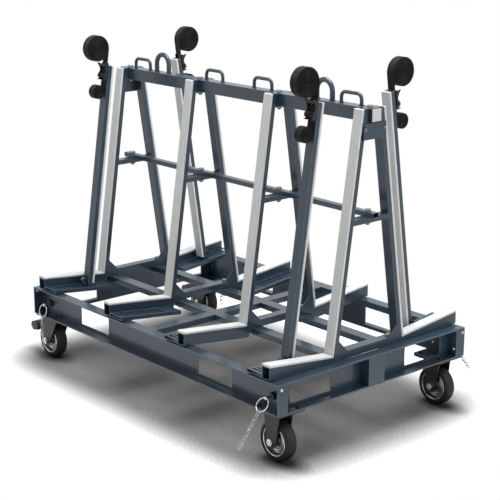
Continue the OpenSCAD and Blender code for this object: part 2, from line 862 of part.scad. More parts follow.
module fixed_fork() {
    color(black) {
        centred_block(fork_leg_w, 2 * fork_in, plate_z - fork_t, plate_z);
        for (s = [-1, 1]) translate([0, s * (fork_in + fork_t / 2), 0]) fork_cheek(plate_z, 0, false);
    }
    color(zinc) axle(0);
}

module fixed_forks() {
    for (s = [-1, 1]) translate([caster_x, s * caster_y, 0]) fixed_fork();
}

// Swivel fork: a crown around the kingpin, two cheeks, the axle and the pedal's pin
module swivel_fork() {
    half = fork_leg_w / 2;
    color(black) {
        difference() {
            block([-half, -fork_in, crown_top - fork_t], [half, fork_in, crown_top]);
            translate([0, 0, crown_top - fork_t - over])
                cylinder(r = kingpin_d / 2 + turn_room, h = fork_t + 2 * over);
        }
        for (s = [-1, 1]) translate([0, s * (fork_in + fork_t / 2), 0]) fork_cheek(crown_top, trail, true);
    }
    color(zinc) {
        axle(trail);
        translate([-pedal_back, 0, pedal_z]) rotate([right_angle, 0, 0])
            cylinder(d = pedal_pin_d, h = 2 * fork_out, center = true);
    }
}

module left_front_fork() {
    translate([-caster_x, -caster_y, 0]) swivel_fork();
}

module left_rear_fork() {
    translate([-caster_x, caster_y, 0]) swivel_fork();
}

// A caster's place by corner, moved to the middle of its wheel
module at_wheel(corner) {
    s = corner_sides[corner];
    back = s[0] < 0 ? trail : 0;
    translate([s[0] * caster_x - back, s[1] * caster_y, axle_z]) rotate([right_angle, 0, 0]) children();
}

// Hub: a boss on the axle, a thin disc and the rim
module hub(corner) {
    bore = axle_d / 2 + turn_room;
    boss_r = axle_d;
    boss_half = fork_in - race_room;
    rim_r = rim_d / 2;
    rim_wall = fork_t;
    rim_half = wheel_w / 2 - tube_wall;
    disc_half = fork_t / 2;
    color(zinc) at_wheel(corner) rotate_extrude()
        polygon([[bore, -boss_half], [boss_r, -boss_half], [boss_r, -disc_half], [rim_r - rim_wall, -disc_half],
                 [rim_r - rim_wall, -rim_half], [rim_r, -rim_half], [rim_r, rim_half],
                 [rim_r - rim_wall, rim_half], [rim_r - rim_wall, disc_half], [boss_r, disc_half],
                 [boss_r, boss_half], [bore, boss_half]]);
}

// Tyre with rounded shoulders, drawn as a short and a long chamfer
module tyre(corner) {
    r = wheel_d / 2;
    half = wheel_w / 2;
    soft = wheel_w / 8;
    color(black) at_wheel(corner) rotate_extrude()
        polygon([[rim_d / 2, -half + tube_wall], [rim_d / 2 + tube_wall, -half], [r - 2 * soft, -half],
                 [r - soft / 2, -half + soft], [r, -half + 2 * soft], [r, half - 2 * soft],
                 [r - soft / 2, half - soft], [r - 2 * soft, half], [rim_d / 2 + tube_wall, half],
                 [rim_d / 2, half - tube_wall]]);
}

// Brake pedal: a sleeve on its pin, an arm over the tyre and a tread to step on
module pedal(side) {
    sleeve_r = pedal_sleeve_d / 2;
    inner = pedal_reach - pedal_l;
    arm_low = -pedal_arm_t - inner;
    arm_w = 2 * (fork_in - race_room);
    color(black) translate([-caster_x, side * caster_y, 0])
        difference() {
            union() {
                translate([-pedal_back, 0, pedal_z]) rotate([right_angle, 0, 0])
                    cylinder(r = sleeve_r, h = arm_w, center = true);
                rotate([right_angle, 0, 0]) linear_extrude(pedal_w - 2 * fork_t, center = true)
                    polygon([[-pedal_back, pedal_z + sleeve_r], [-pedal_back - sleeve_r, pedal_z + sleeve_r],
                             [arm_low, pedal_tip_z + pedal_arm_t], [-inner, pedal_tip_z - pedal_arm_t],
                             [-pedal_back - sleeve_r, pedal_z]]);
                block([-pedal_reach, -pedal_w / 2, pedal_tip_z - pedal_t / 2],
                      [-inner, pedal_w / 2, pedal_tip_z + pedal_t / 2]);
            }
            translate([-pedal_back, 0, pedal_z]) rotate([right_angle, 0, 0])
                cylinder(r = pedal_pin_d / 2 + turn_room, h = arm_w + 2 * over, center = true);
        }
}

module left_front_pedal() {
    pedal(-1);
}

module left_rear_pedal() {
    pedal(1);
}

// A post's own frame: its foot at the origin, Z along the tube and Y away from the cart's middle
module at_post(corner) {
    s = corner_sides[corner];
    y = notch_y(post_notches[corner]);
    mirror([0, s[1] < 0 ? 1 : 0, 0])
        translate([s[0] * post_x, y, foot_under(y) + rack_up + post_room])
            rotate([lean, 0, 0]) children();
}

// Post: a tube closed at the top, a tongue for the rack's notch and a strap eye at the foot
module post(corner) {
    color(paint) at_post(corner) {
        difference() {
            centred_block(post_w, post_t, 0, post_l);
            centred_block(post_w - 2 * tube_wall, post_t - 2 * tube_wall, tube_wall, post_l - tube_wall);
        }
        centred_block(tongue_w, tongue_t, -tongue_h, 0);
        translate([0, post_t / 2 + eye_d / 2 - tube_wall, eye_up]) rotate([0, right_angle, 0])
            difference() {
                cylinder(d = eye_d, h = post_w / 2, center = true);
                cylinder(d = eye_hole_d, h = post_w, center = true);
            }
    }
}

module post_pad(corner) {
    color(pad_grey) at_post(corner)
        block([-pad_w / 2, -post_t / 2 - pad_t, post_pad_up], [pad_w / 2, -post_t / 2, post_l]);
}

// Point of a roll at an angle, inset from its outer face; the roll ends on the post's side
function roll_point(r, loops, angle, inset) =
    let (radius = r - strap_step * (loops * full_turn + half_turn - angle) / full_turn - inset)
    radius * [cos(angle), sin(angle)];
function roll_angles(loops) =
    [for (i = [0:loops * loop_sides]) half_turn + i * full_turn / loop_sides];
function roll_side(r, loops, inset) = [for (a = roll_angles(loops)) roll_point(r, loops, a, inset)];
function back_to_front(list) = [for (i = [len(list) - 1:-1:0]) list[i]];

// Rolled webbing around the origin, with a straight tail down the post's side
module roll(r, loops, tail) {
    outer = roll_side(r, loops, 0);
    inner = roll_side(r, loops, strap_t);
    tail_end = [[-r, -tail], [-r + strap_t, -tail]];
    prism_x(concat(outer, tail_end, back_to_front(inner)), strap_w);
}

module strap(corner) {
    color(black) at_post(corner) {
        translate([0, roll_y, roll_z]) roll(roll_r, roll_loops, roll_z - spool_z);
        translate([0, small_roll_y, small_roll_z]) mirror([0, 0, 1])
            roll(small_roll_r, small_roll_loops, spool_z - spool_d - small_roll_z);
    }
}

// Least distance between the loops of a roll, on its own points
function roll_gap(r, loops) =
    let (outer = roll_side(r, loops, 0), inner = roll_side(r, loops, strap_t))
    min([for (i = [0:len(outer) - 1 - loop_sides], j = [-1:1:1])
         if (i + loop_sides + j < len(inner)) norm(outer[i] - inner[i + loop_sides + j])]);
echo(least_gap_in_large_roll_mm = roll_gap(roll_r, roll_loops));
echo(least_gap_in_small_roll_mm = roll_gap(small_roll_r, small_roll_loops));

// Ratchet: a base plate on the post, two side plates and the slotted spool
module ratchet(corner) {
    high = ratchet_low + ratchet_l;
    base = post_t / 2;
    lip_y = spool_y + spool_d / 2 + ratchet_t;
    color(zinc) at_post(corner) {
        block([-ratchet_in, base, ratchet_low], [ratchet_in, base + ratchet_t, high]);
        for (s = [0, 1]) mirror([s, 0, 0])
            difference() {
                translate([ratchet_in + ratchet_t / 2, 0, 0])
                    prism_x([[base, ratchet_low], [lip_y, ratchet_low + ratchet_t], [lip_y, spool_z + spool_d / 2],
                             [base + ratchet_h, spool_z + lever_l - grip_d], [base + ratchet_h / 2, high],
                             [base, high]], ratchet_t);
                translate([0, spool_y, spool_z]) rotate([0, right_angle, 0])
                    cylinder(d = spool_d, h = lever_out);
            }
        translate([0, spool_y, spool_z]) rotate([0, right_angle, 0])
            cylinder(d = spool_d, h = 2 * (lever_out + lever_room), center = true);
    }
}

// Ratchet lever: two arms outside the side plates and a grip across their tops
module lever(corner) {
    arm_w = spool_d + 2 * ratchet_t;
    color(black) at_post(corner) {
        for (s = [0, 1]) mirror([s, 0, 0])
            difference() {
                translate([(lever_in + lever_out) / 2, 0, 0])
                    prism_x([[spool_y - arm_w / 2, spool_z - arm_w / 2], [spool_y + arm_w / 2, spool_z - arm_w / 2],
                             [grip_y + grip_d / 2, grip_z], [grip_y + grip_d / 2, grip_z + grip_d / 2],
                             [grip_y - grip_d / 2, grip_z + grip_d / 2]], ratchet_t);
                translate([0, spool_y, spool_z]) rotate([0, right_angle, 0])
                    cylinder(r = spool_d / 2 + turn_room, h = lever_out + over);
            }
        translate([0, grip_y, grip_z]) rotate([0, right_angle, 0])
            cylinder(d = grip_d, h = 2 * lever_in, center = true);
    }
}

// Lock pins through the long channels' webs, each with a boss and a ball with a hole for the ring
module lock_pins() {
    color(zinc) for (s = corner_sides)
        mirror([0, s[1] < 0 ? 1 : 0, 0]) translate([s[0] * pin_x, 0, pin_z]) {
            translate([0, channel_in - web_t, 0]) rotate([-right_angle, 0, 0])
                cylinder(d = pin_d, h = ball_y - ball_d / 4 - channel_in + web_t);
            translate([0, channel_in + web_t, 0]) rotate([-right_angle, 0, 0])
                difference() {
                    cylinder(d = boss_d, h = boss_t);
                    translate([0, 0, -over]) cylinder(r = pin_d / 2 + bolt_room, h = boss_t + 2 * over);
                }
            difference() {
                translate([0, ball_y, 0]) rotate([0, 0, right_angle / 2]) sphere(d = ball_d);
                translate([0, ball_y, 0]) rotate([0, right_angle, 0])
                    cylinder(r = ring_wire_d / 2 + ring_sag + ring_room, h = 2 * ball_d, center = true);
            }
        }
}

// Outline of a link: straight sides and round ends
module link_outline(inset) {
    end = link_l / 2 - link_w / 2;
    width = link_w - 2 * inset;
    square([width, 2 * end], center = true);
    for (s = [-1, 1]) translate([0, s * end]) circle(d = width, $fn = link_sides);
}

module link() {
    rotate([right_angle, 0, 0]) linear_extrude(link_d, center = true)
        difference() {
            link_outline(0);
            link_outline(link_d);
        }
}

// Ring through a lock pin's ball, leaning outwards, and the chain below it with a lean of its own
module chain(corner) {
    s = corner_sides[corner];
    color(zinc) mirror([0, s[1] < 0 ? 1 : 0, 0])
        translate([s[0] * pin_x, ball_y, pin_z]) {
            rotate([ring_leans[corner], 0, 0])
                translate([0, 0, -ring_d / 2]) rotate([right_angle, 0, 0])
                    rotate_extrude($fn = ring_sides)
                        translate([ring_d / 2, 0]) circle(d = ring_wire_d, $fn = hex_sides);
            translate(ring_d * [0, sin(ring_leans[corner]), -cos(ring_leans[corner])])
                rotate([chain_leans[corner], 0, 0])
                    for (i = [0:links - 1])
                        translate([0, 0, ring_wire_d / 2 + link_d + link_room - link_l / 2 - i * link_step])
                            rotate([0, 0, i % 2 == 0 ? right_angle : 0]) link();
        }
}

front_channel();
rear_channel();
left_end_channel();
right_end_channel();
stringers();
cross_members();
a_frame(0);  // a_frame_1
a_frame(1);  // a_frame_2
a_frame(2);  // a_frame_3
a_frame(3);  // a_frame_4
leg_pads();
foot_pads();
front_racks();
rear_racks();
ridge_beam();
beam_end_caps();
carry_handles();
lifting_bails();
mid_rail();
frame_bolts();
caster_plates();
plate_bolts();
fixed_forks();
left_front_fork();
left_rear_fork();
hub(LEFT_FRONT);  // left_front_hub
hub(RIGHT_FRONT);  // right_front_hub
hub(LEFT_REAR);  // left_rear_hub
hub(RIGHT_REAR);  // right_rear_hub
tyre(LEFT_FRONT);  // left_front_tyre
tyre(RIGHT_FRONT);  // right_front_tyre
tyre(LEFT_REAR);  // left_rear_tyre
tyre(RIGHT_REAR);  // right_rear_tyre
left_front_pedal();
left_rear_pedal();
post(LEFT_FRONT);  // left_front_post
post(RIGHT_FRONT);  // right_front_post
post(LEFT_REAR);  // left_rear_post
post(RIGHT_REAR);  // right_rear_post
post_pad(LEFT_FRONT);  // left_front_post_pad
post_pad(RIGHT_FRONT);  // right_front_post_pad
post_pad(LEFT_REAR);  // left_rear_post_pad
post_pad(RIGHT_REAR);  // right_rear_post_pad
strap(LEFT_FRONT);  // left_front_strap
strap(RIGHT_FRONT);  // right_front_strap
strap(LEFT_REAR);  // left_rear_strap
strap(RIGHT_REAR);  // right_rear_strap
ratchet(LEFT_FRONT);  // left_front_ratchet
ratchet(RIGHT_FRONT);  // right_front_ratchet
ratchet(LEFT_REAR);  // left_rear_ratchet
ratchet(RIGHT_REAR);  // right_rear_ratchet
lever(LEFT_FRONT);  // left_front_lever
lever(RIGHT_FRONT);  // right_front_lever
lever(LEFT_REAR);  // left_rear_lever
lever(RIGHT_REAR);  // right_rear_lever
lock_pins();
chain(LEFT_FRONT);  // left_front_chain
chain(RIGHT_FRONT);  // right_front_chain
chain(LEFT_REAR);  // left_rear_chain
chain(RIGHT_REAR);  // right_rear_chain
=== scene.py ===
"""The looks of a slab A-frame cart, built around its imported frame.

Lengths are in metres and angles in degrees. X runs along the base, -Y is the front side and Z is
up. A post has a frame of its own: X across it, Y away from the cart's middle and Z up its tube.
"""
import json
from math import cos, pi, radians, sin, tau

import bmesh
import bpy
from mathutils import Matrix, Vector

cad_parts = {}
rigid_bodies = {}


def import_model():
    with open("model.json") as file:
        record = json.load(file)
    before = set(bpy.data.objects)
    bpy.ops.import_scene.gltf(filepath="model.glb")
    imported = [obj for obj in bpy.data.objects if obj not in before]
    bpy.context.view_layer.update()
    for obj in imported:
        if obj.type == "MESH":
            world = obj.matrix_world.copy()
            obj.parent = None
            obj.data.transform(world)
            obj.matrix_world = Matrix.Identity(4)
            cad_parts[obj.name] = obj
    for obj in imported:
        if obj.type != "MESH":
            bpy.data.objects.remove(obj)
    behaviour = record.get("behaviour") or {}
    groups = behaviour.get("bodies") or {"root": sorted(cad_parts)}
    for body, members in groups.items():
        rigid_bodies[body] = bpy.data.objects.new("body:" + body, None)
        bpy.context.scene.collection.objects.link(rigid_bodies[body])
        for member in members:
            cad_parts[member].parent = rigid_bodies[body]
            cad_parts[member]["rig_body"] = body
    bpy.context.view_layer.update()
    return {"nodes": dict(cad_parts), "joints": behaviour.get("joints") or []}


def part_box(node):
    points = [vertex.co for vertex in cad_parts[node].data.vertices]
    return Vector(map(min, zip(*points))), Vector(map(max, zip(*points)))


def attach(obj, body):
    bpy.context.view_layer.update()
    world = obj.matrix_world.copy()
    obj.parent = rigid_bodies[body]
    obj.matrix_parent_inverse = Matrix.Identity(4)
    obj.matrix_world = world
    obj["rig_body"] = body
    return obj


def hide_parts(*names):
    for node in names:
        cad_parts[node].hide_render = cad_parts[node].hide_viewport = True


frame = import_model()

SIDES = (-1, 1)
# The signs of X and Y of each corner
CORNERS = {"left_front": (-1, -1), "right_front": (1, -1),
           "left_rear": (-1, 1), "right_rear": (1, 1)}
WHITE = (1, 1, 1, 1)


def linear(red, green, blue):
    """A colour given in sRGB bytes, as the linear RGBA that the shader takes."""
    def channel(byte):
        value = byte / 255
        return value / 12.92 if value <= 0.04045 else ((value + 0.055) / 1.055) ** 2.4
    return (channel(red), channel(green), channel(blue), 1)


def shade(colour, factor):
    """A linear colour made lighter or darker."""
    return tuple(min(c * factor, 1) for c in colour[:3]) + (1,)


class Nodes:
    """A node tree under construction."""

    def __init__(self, tree):
        self.nodes = tree.nodes
        self.links = tree.links

    def put(self, value, socket):
        """Sets an input to a value, or links another node's socket to it."""
        if isinstance(value, bpy.types.NodeSocket):
            self.links.new(value, socket)
        else:
            socket.default_value = value

    def node(self, kind, settings=None, **inputs):
        """A new node; an input is a value, or another node's socket."""
        node = self.nodes.new("ShaderNode" + kind)
        for key, value in (settings or {}).items():
            setattr(node, key, value)
        for key, value in inputs.items():
            self.put(value, node.inputs[key.replace("_", " ")])
        return node

    def place(self, stretch=(1, 1, 1), source="Object"):
        """The surface's own coordinates, stretched."""
        coordinates = self.node("TexCoord").outputs[source]
        return self.node("Mapping", Vector=coordinates, Scale=stretch).outputs["Vector"]

    def noise(self, scale, detail, stretch=(1, 1, 1)):
        """A noise around one half."""
        noise = self.node("TexNoise", Vector=self.place(stretch), Scale=scale, Detail=detail)
        return noise.outputs["Fac"]

    def remap(self, value, low, high, to_low, to_high):
        """A value stretched from one range to another and held inside it."""
        node = self.node("MapRange", {"clamp": True})
        for socket, number in zip(node.inputs[1:5], (low, high, to_low, to_high)):
            socket.default_value = number
        self.links.new(value, node.inputs[0])
        return node.outputs[0]

    def cloud(self, scale, detail, low=0, high=1):
        """A noise that drifts between two numbers."""
        return self.remap(self.noise(scale, detail), 0.3, 0.7, low, high)

    def maths(self, operation, a, b):
        """A sum, a product or the like of two numbers."""
        node = self.node("Math", {"operation": operation})
        for value, socket in zip((a, b), node.inputs):
            self.put(value, socket)
        return node.outputs[0]

    def mix(self, factor, a, b):
        """One colour turning into another by a factor."""
        node = self.node("Mix", {"data_type": "RGBA"})
        for value, socket in zip((factor, a, b), (node.inputs[0], node.inputs[6], node.inputs[7])):
            self.put(value, socket)
        return node.outputs[2]

    def blend(self, factor, a, b):
        """One shader turning into another by a factor."""
        node = self.node("MixShader")
        for value, socket in zip((factor, a, b), node.inputs):
            self.links.new(value, socket)
        return node.outputs[0]

    def distance(self, steps):
        """How far the surface's coordinates lie from zero, after steps of vector maths on them."""
        at = self.place()
        for operation, other in steps:
            step = self.node("VectorMath", {"operation": operation})
            self.links.new(at, step.inputs[0])
            if other:
                step.inputs[1].default_value = other
            at = step.outputs["Vector"]
        length = self.node("VectorMath", {"operation": "LENGTH"})
        self.links.new(at, length.inputs[0])
        return length.outputs["Value"]

    def white_seen(self):
        """Whether a ray comes from the camera, a mirror or a clear body."""
        paths = self.node("LightPath")
        total = paths.outputs["Is Camera Ray"]
        for other in ("Is Glossy Ray", "Is Transmission Ray"):
            total = self.maths("MAXIMUM", total, paths.outputs[other])
        return total


class Shader(Nodes):
    """A material under construction: one Principled surface and the nodes that feed it."""

    def __init__(self, name, **inputs):
        self.material = bpy.data.materials.new(name)
        self.material.use_nodes = True
        super().__init__(self.material.node_tree)
        self.surface = self.nodes["Principled BSDF"]
        for key, value in inputs.items():
            title = key.replace("_", " ").title().replace("Ior", "IOR")
            self.surface.inputs[title].default_value = value

    def feed(self, name, value):
        """Links a socket to one of the surface's inputs."""
        self.links.new(value, self.surface.inputs[name])

    def bump(self, height, distance):
        """The surface's relief, from a height between 0 and 1 and the length that 1 stands for."""
        node = self.node("Bump", Height=height, Distance=distance, Strength=1.0)
        self.feed("Normal", node.outputs["Normal"])

    def attribute(self, name):
        """A number kept in the mesh."""
        return self.node("Attribute", {"attribute_name": name}).outputs["Fac"]


def coated(name, colour, rough, orange_peel=0.00003, edge_highlight=None, gloss=0.45, coat=0.0):
    """Powder coat or paint: slow drifts of tone, an orange-peel skin and a painted highlight on the
    edges.
    """
    shader = Shader(name, specular_ior_level=gloss, coat_weight=coat, coat_roughness=0.12)
    tone = shader.mix(shader.cloud(5, 5), shade(colour, 0.93), shade(colour, 1.08))
    if edge_highlight:
        # Painted highlight: the rounded edges turn lighter in patches
        patches = shader.remap(shader.noise(70, 4), 0.35, 0.7, 0.2, 0.75)
        highlit_edges = shader.maths("MULTIPLY", patches, shader.attribute("edge"))
        tone = shader.mix(highlit_edges, tone, edge_highlight)
    shader.feed("Base Color", tone)
    shader.feed("Roughness", shader.cloud(18, 4, rough - 0.03, rough + 0.04))
    shader.bump(shader.noise(900, 2), orange_peel)
    return shader.material


def bare_metal(name, colour, rough):
    """Plated or pressed steel: a mottled sheen on a fine grain."""
    shader = Shader(name, metallic=1.0)
    tone = shader.mix(shader.cloud(45, 5), shade(colour, 0.86), shade(colour, 1.04))
    shader.feed("Base Color", tone)
    shader.feed("Roughness", shader.cloud(160, 4, rough - 0.07, rough + 0.09))
    shader.bump(shader.noise(700, 2), 0.00002)
    return shader.material


def rubber(name, colour, rough, lines=None):
    """Matt, slightly cloudy rubber; an extruded strip has drawn lines along it."""
    shader = Shader(name, specular_ior_level=0.35)
    tone = shader.mix(shader.cloud(9, 5), shade(colour, 0.95), shade(colour, 1.03))
    height = shader.noise(650, 3)
    if lines:
        drawn = shader.noise(1, 3, lines)
        tone = shader.mix(shader.remap(drawn, 0.42, 0.62, 0, 0.45), tone, shade(colour, 0.86))
        height = shader.maths("ADD", height, drawn)
    shader.feed("Base Color", tone)
    shader.feed("Roughness", shader.cloud(30, 3, rough - 0.06, rough + 0.06))
    shader.bump(height, 0.00008)
    return shader.material


def woven(name, colour, rib=0.0022, yarn=0.0012):
    """Flat woven webbing: ribs across the strap, yarns along it and a fine fuzz."""
    shader = Shader(name, roughness=0.82, sheen_weight=0.1, sheen_roughness=0.5,
                    specular_ior_level=0.18)

    def wave(direction, length, distortion):
        return shader.node("TexWave", {"bands_direction": direction, "wave_profile": "SIN"},
                           Vector=shader.place((1 / length, 1 / length, 1), "UV"), Scale=0.5,
                           Distortion=distortion).outputs["Fac"]

    weave = shader.maths("MULTIPLY", wave("X", rib, 0.4), wave("Y", yarn, 0.2))
    fuzz = shader.maths("MULTIPLY", shader.noise(1500, 3), 0.3)
    tone = shader.mix(weave, shade(colour, 0.6), shade(colour, 1.25))
    dust = shader.remap(shader.noise(40, 4), 0.4, 0.7, 0, 0.25)
    shader.feed("Base Color", shader.mix(dust, tone, shade(colour, 1.7)))
    shader.bump(shader.maths("ADD", weave, fuzz), 0.00025)
    return shader.material


def moulded(name, colour, rough):
    """Moulded plastic with a fine grain."""
    shader = Shader(name, specular_ior_level=0.4)
    tone = shader.mix(shader.cloud(20, 4), shade(colour, 0.94), shade(colour, 1.05))
    shader.feed("Base Color", tone)
    shader.feed("Roughness", shader.cloud(60, 3, rough - 0.05, rough + 0.05))
    shader.bump(shader.noise(1300, 2), 0.00005)
    return shader.material


# Each coat's second colour is a painted highlight on its rounded edges
PAINT = coated("slate_paint", linear(34, 52, 66), 0.35, edge_highlight=linear(112, 126, 136), gloss=0.42,
               coat=0.28)
BLACK = coated("black_coat", linear(18, 18, 19), 0.42, 0.00004, edge_highlight=linear(66, 66, 66))
ZINC = bare_metal("zinc_plate", linear(134, 136, 139), 0.33)
DISC = bare_metal("pressed_steel", linear(92, 94, 96), 0.38)
NICKEL = bare_metal("nickel_plate", linear(214, 214, 214), 0.18)
LINK = bare_metal("chain_steel", linear(166, 167, 168), 0.25)
PAD = rubber("pale_rubber", linear(207, 208, 208), 0.55, lines=(260, 260, 5))
TYRE = rubber("tyre_rubber", linear(11, 11, 12), 0.6)
WEBBING = woven("black_webbing", linear(12, 12, 12))
CAP = moulded("pale_plastic", linear(196, 198, 198), 0.4)


def circle(radius, count, centre=(0, 0)):
    """Points spread evenly around a circle."""
    return [(centre[0] + radius * cos(tau * k / count), centre[1] + radius * sin(tau * k / count))
            for k in range(count)]


def square(half):
    """The corners of a square around the origin."""
    return [(-half, -half), (half, -half), (half, half), (-half, half)]


# An edge is rounded if it is longer and sharper than this, and shaded as sharp above the last angle
EASED_LENGTH = 0.006
EASED_ANGLE = 30
SHARP_ANGLE = 38


class Part:
    """A piece under construction: its mesh grows shape by shape, and done() puts it on a body."""

    def __init__(self, name):
        self.name = name
        self.bm = bmesh.new()
        self.uv = self.bm.loops.layers.uv.new("UVMap")
        self.edge = self.bm.faces.layers.float.new("edge")

    def loft(self, rings, closed=False):
        """Skins a row of rings with as many points each, closed to a loop or with flat ends."""
        rows = [[self.bm.verts.new(p) for p in ring] for ring in rings]
        count = len(rows[0])
        for i in range(len(rows) if closed else len(rows) - 1):
            a, b = rows[i], rows[(i + 1) % len(rows)]
            for j in range(count):
                k = (j + 1) % count
                self.bm.faces.new((a[j], a[k], b[k], b[j]))
        if not closed:
            self.bm.faces.new(rows[0][::-1])
            self.bm.faces.new(rows[-1])
        return self

    def lathe(self, profile, at, sides):
        """Turns a closed profile of (radius, height) about the Z axis of a matrix."""
        rings = [[at @ Vector((r * x, r * y, z)) for r, z in profile] for x, y in circle(1, sides)]
        return self.loft(rings, closed=True)

    def spindle(self, profile, at, sides):
        """Turns an open profile into a solid with flat ends, like a pin or a bolt head."""
        rings = [[at @ Vector((x, y, z)) for x, y in circle(r, sides)] for r, z in profile]
        return self.loft(rings)

    def sweep(self, path, radius, sides, closed=False):
        """Runs a round section along a path; the radius is one number or one for each point."""
        points = [Vector(p) for p in path]
        count = len(points)
        radii = radius if isinstance(radius, list) else [radius] * count
        rings, normal = [], None
        for i, point in enumerate(points):
            before = points[i - 1] if closed or i else point
            after = points[(i + 1) % count] if closed or i < count - 1 else point
            ahead = (after - before).normalized()
            if normal is None:
                normal = ahead.orthogonal().normalized()
            normal = (normal - ahead * normal.dot(ahead)).normalized()
            side = ahead.cross(normal)
            rings.append([point + radii[i] * (normal * x + side * y) for x, y in circle(1, sides)])
        return self.loft(rings, closed)

    def prism(self, outline, low, high, at):
        """An outline in the matrix's XY plane, drawn from one height to another."""
        return self.loft([[at @ Vector((x, y, z)) for x, y in outline] for z in (low, high)])

    def ribbon(self, line, thickness, width, at):
        """A strap with rounded selvedges whose middle line lies in the matrix's YZ plane. Its UVs
        are the lengths along and across it."""
        half, edge, count = thickness / 2, width / 2, len(line)
        length, rings, run = 0.0, [], []
        for i, point in enumerate(line):
            before, after = Vector(line[max(i - 1, 0)]), Vector(line[min(i + 1, count - 1)])
            ahead = (after - before).normalized()
            off = Vector((-ahead.y, ahead.x)) * half
            length += (Vector(point) - Vector(line[i - 1])).length if i else 0
            run.append(length)
            section = [(-edge, off * 0.55), (-edge + half, off), (edge - half, off),
                       (edge, off * 0.55), (edge, off * -0.55), (edge - half, -off),
                       (-edge + half, -off), (-edge, off * -0.55)]
            rings.append([at @ Vector((x, point[0] + o.x, point[1] + o.y)) for x, o in section])
        start = len(self.bm.faces)
        self.loft(rings)
        self.bm.faces.ensure_lookup_table()
        across = [0, half, width - half, width, width, width - half, half, 0]
        sides = len(across)
        for index in range((count - 1) * sides):
            i, j = divmod(index, sides)
            k = (j + 1) % sides
            corners = ((run[i], across[j]), (run[i], across[k]),
                       (run[i + 1], across[k]), (run[i + 1], across[j]))
            for loop, corner in zip(self.bm.faces[start + index].loops, corners):
                loop[self.uv].uv = corner
        return self

    def ease(self, radius, segments=2):
        """Rounds the long outer edges and marks their faces."""
        bm = self.bm
        bmesh.ops.remove_doubles(bm, verts=bm.verts, dist=1e-6)
        bmesh.ops.dissolve_limit(bm, angle_limit=radians(0.5), verts=bm.verts, edges=bm.edges)
        edges = [e for e in bm.edges if len(e.link_faces) == 2 and e.is_convex
                 and e.calc_length() > EASED_LENGTH and e.calc_face_angle() > radians(EASED_ANGLE)]
        result = bmesh.ops.bevel(bm, geom=edges, offset=radius, offset_type="OFFSET",
                                 segments=segments, profile=0.5, affect="EDGES",
                                 clamp_overlap=True, loop_slide=True)
        for face in result["faces"]:
            face[self.edge] = 1.0
        return self

    def done(self, material, body, replaces=()):
        """Makes the mesh an object with its material, on its body and in place of CAD nodes."""
        mesh = bpy.data.meshes.new(self.name)
        bmesh.ops.recalc_face_normals(self.bm, faces=self.bm.faces)
        self.bm.to_mesh(mesh)
        self.bm.free()
        mesh.materials.append(material)
        for polygon in mesh.polygons:
            polygon.use_smooth = True
        mesh.set_sharp_from_angle(angle=radians(SHARP_ANGLE))
        piece = bpy.data.objects.new(self.name, mesh)
        bpy.context.scene.collection.objects.link(piece)
        weighted = piece.modifiers.new("normals", "WEIGHTED_NORMAL")
        weighted.keep_sharp = True
        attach(piece, body)
        if replaces:
            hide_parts(*replaces)
        return piece


def frame_at(origin, x, y, z):
    """A matrix from an origin and three axes."""
    matrix = Matrix.Identity(4)
    for column, axis in enumerate((x, y, z, origin)):
        for row in range(3):
            matrix[row][column] = axis[row]
    return matrix


def along(origin, axis):
    """A matrix at a point whose Z axis is a direction."""
    return Matrix.Translation(origin) @ Vector(axis).to_track_quat("Z", "Y").to_matrix().to_4x4()


def middle(low, high):
    return (low + high) / 2


def joint(name):
    return next(j for j in frame["joints"] if j["name"] == name)


# Where a lever's pivot, its ratchet's spool, lies in its post's frame
SPOOL_Y = 0.024
SPOOL_Z = 0.919


def post_matrix(corner):
    """A post's own frame."""
    up = Vector(joint(corner + "_post_lift")["axis"]).normalized()
    pivot = Vector(joint(corner + "_lever_turn")["pos_m"])
    across = Vector((CORNERS[corner][1], 0, 0))
    out = up.cross(across)
    return frame_at(pivot - out * SPOOL_Y - up * SPOOL_Z, across, out, up)


# How much higher each post's top stands than its CAD node's, and the height from which that counts
POST_RISE = {"left_front": 0.005, "right_front": 0.007, "left_rear": 0.0, "right_rear": 0.015}
POST_TOP_FROM = 1.2


def eased(node, material, radius=0.0012, segments=2, second=None, is_second=None, rise=0.0):
    """A copy of a CAD node with rounded edges, in the node's place. Faces whose centre passes
    is_second take the second material, and a post's top rises by a length."""
    source = frame["nodes"][node]
    part = Part("eased_" + node)
    verts = [part.bm.verts.new(v.co) for v in source.data.vertices]
    if rise:
        up = post_matrix(source["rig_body"].removesuffix("_post")).col[2].to_3d()
        for vert in verts:
            if vert.co.z > POST_TOP_FROM:
                vert.co += up * rise
    for polygon in source.data.polygons:
        part.bm.faces.new([verts[i] for i in polygon.vertices])
    part.ease(radius, segments)
    if second:
        for face in part.bm.faces:
            face.material_index = int(is_second(face.calc_center_median()))
    piece = part.done(material, source["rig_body"], replaces=[node])
    if second:
        piece.data.materials.append(second)
    return piece


# Painted steel: the CAD shapes are right, so they keep them and only lose their sharp edges
PAINTED = ["front_channel", "rear_channel", "left_end_channel", "right_end_channel", "stringers",
           "cross_members", "a_frame_1", "a_frame_2", "a_frame_3", "a_frame_4", "front_racks",
           "rear_racks", "ridge_beam", "mid_rail"]


def paint_steel():
    for node in PAINTED:
        eased(node, PAINT)
    for corner in CORNERS:
        eased(corner + "_post", PAINT, rise=POST_RISE[corner])


# How round the pads' edges are, and with how many faces
PAD_EDGE = 0.003
PAD_SEGMENTS = 3
# A ridge beam's end cap and the black sheet behind it, which is painted shade: thickness, half
# width and edge. The cap starts a little above the beam's end, inside the sheet
CAP_T = 0.005
CAP_HALF_W = 0.0226
CAP_FROM = 0.0008
CAP_EDGE = 0.0016
SHADE_SHEET_T = 0.0012
SHADE_SHEET_HALF_W = 0.0258


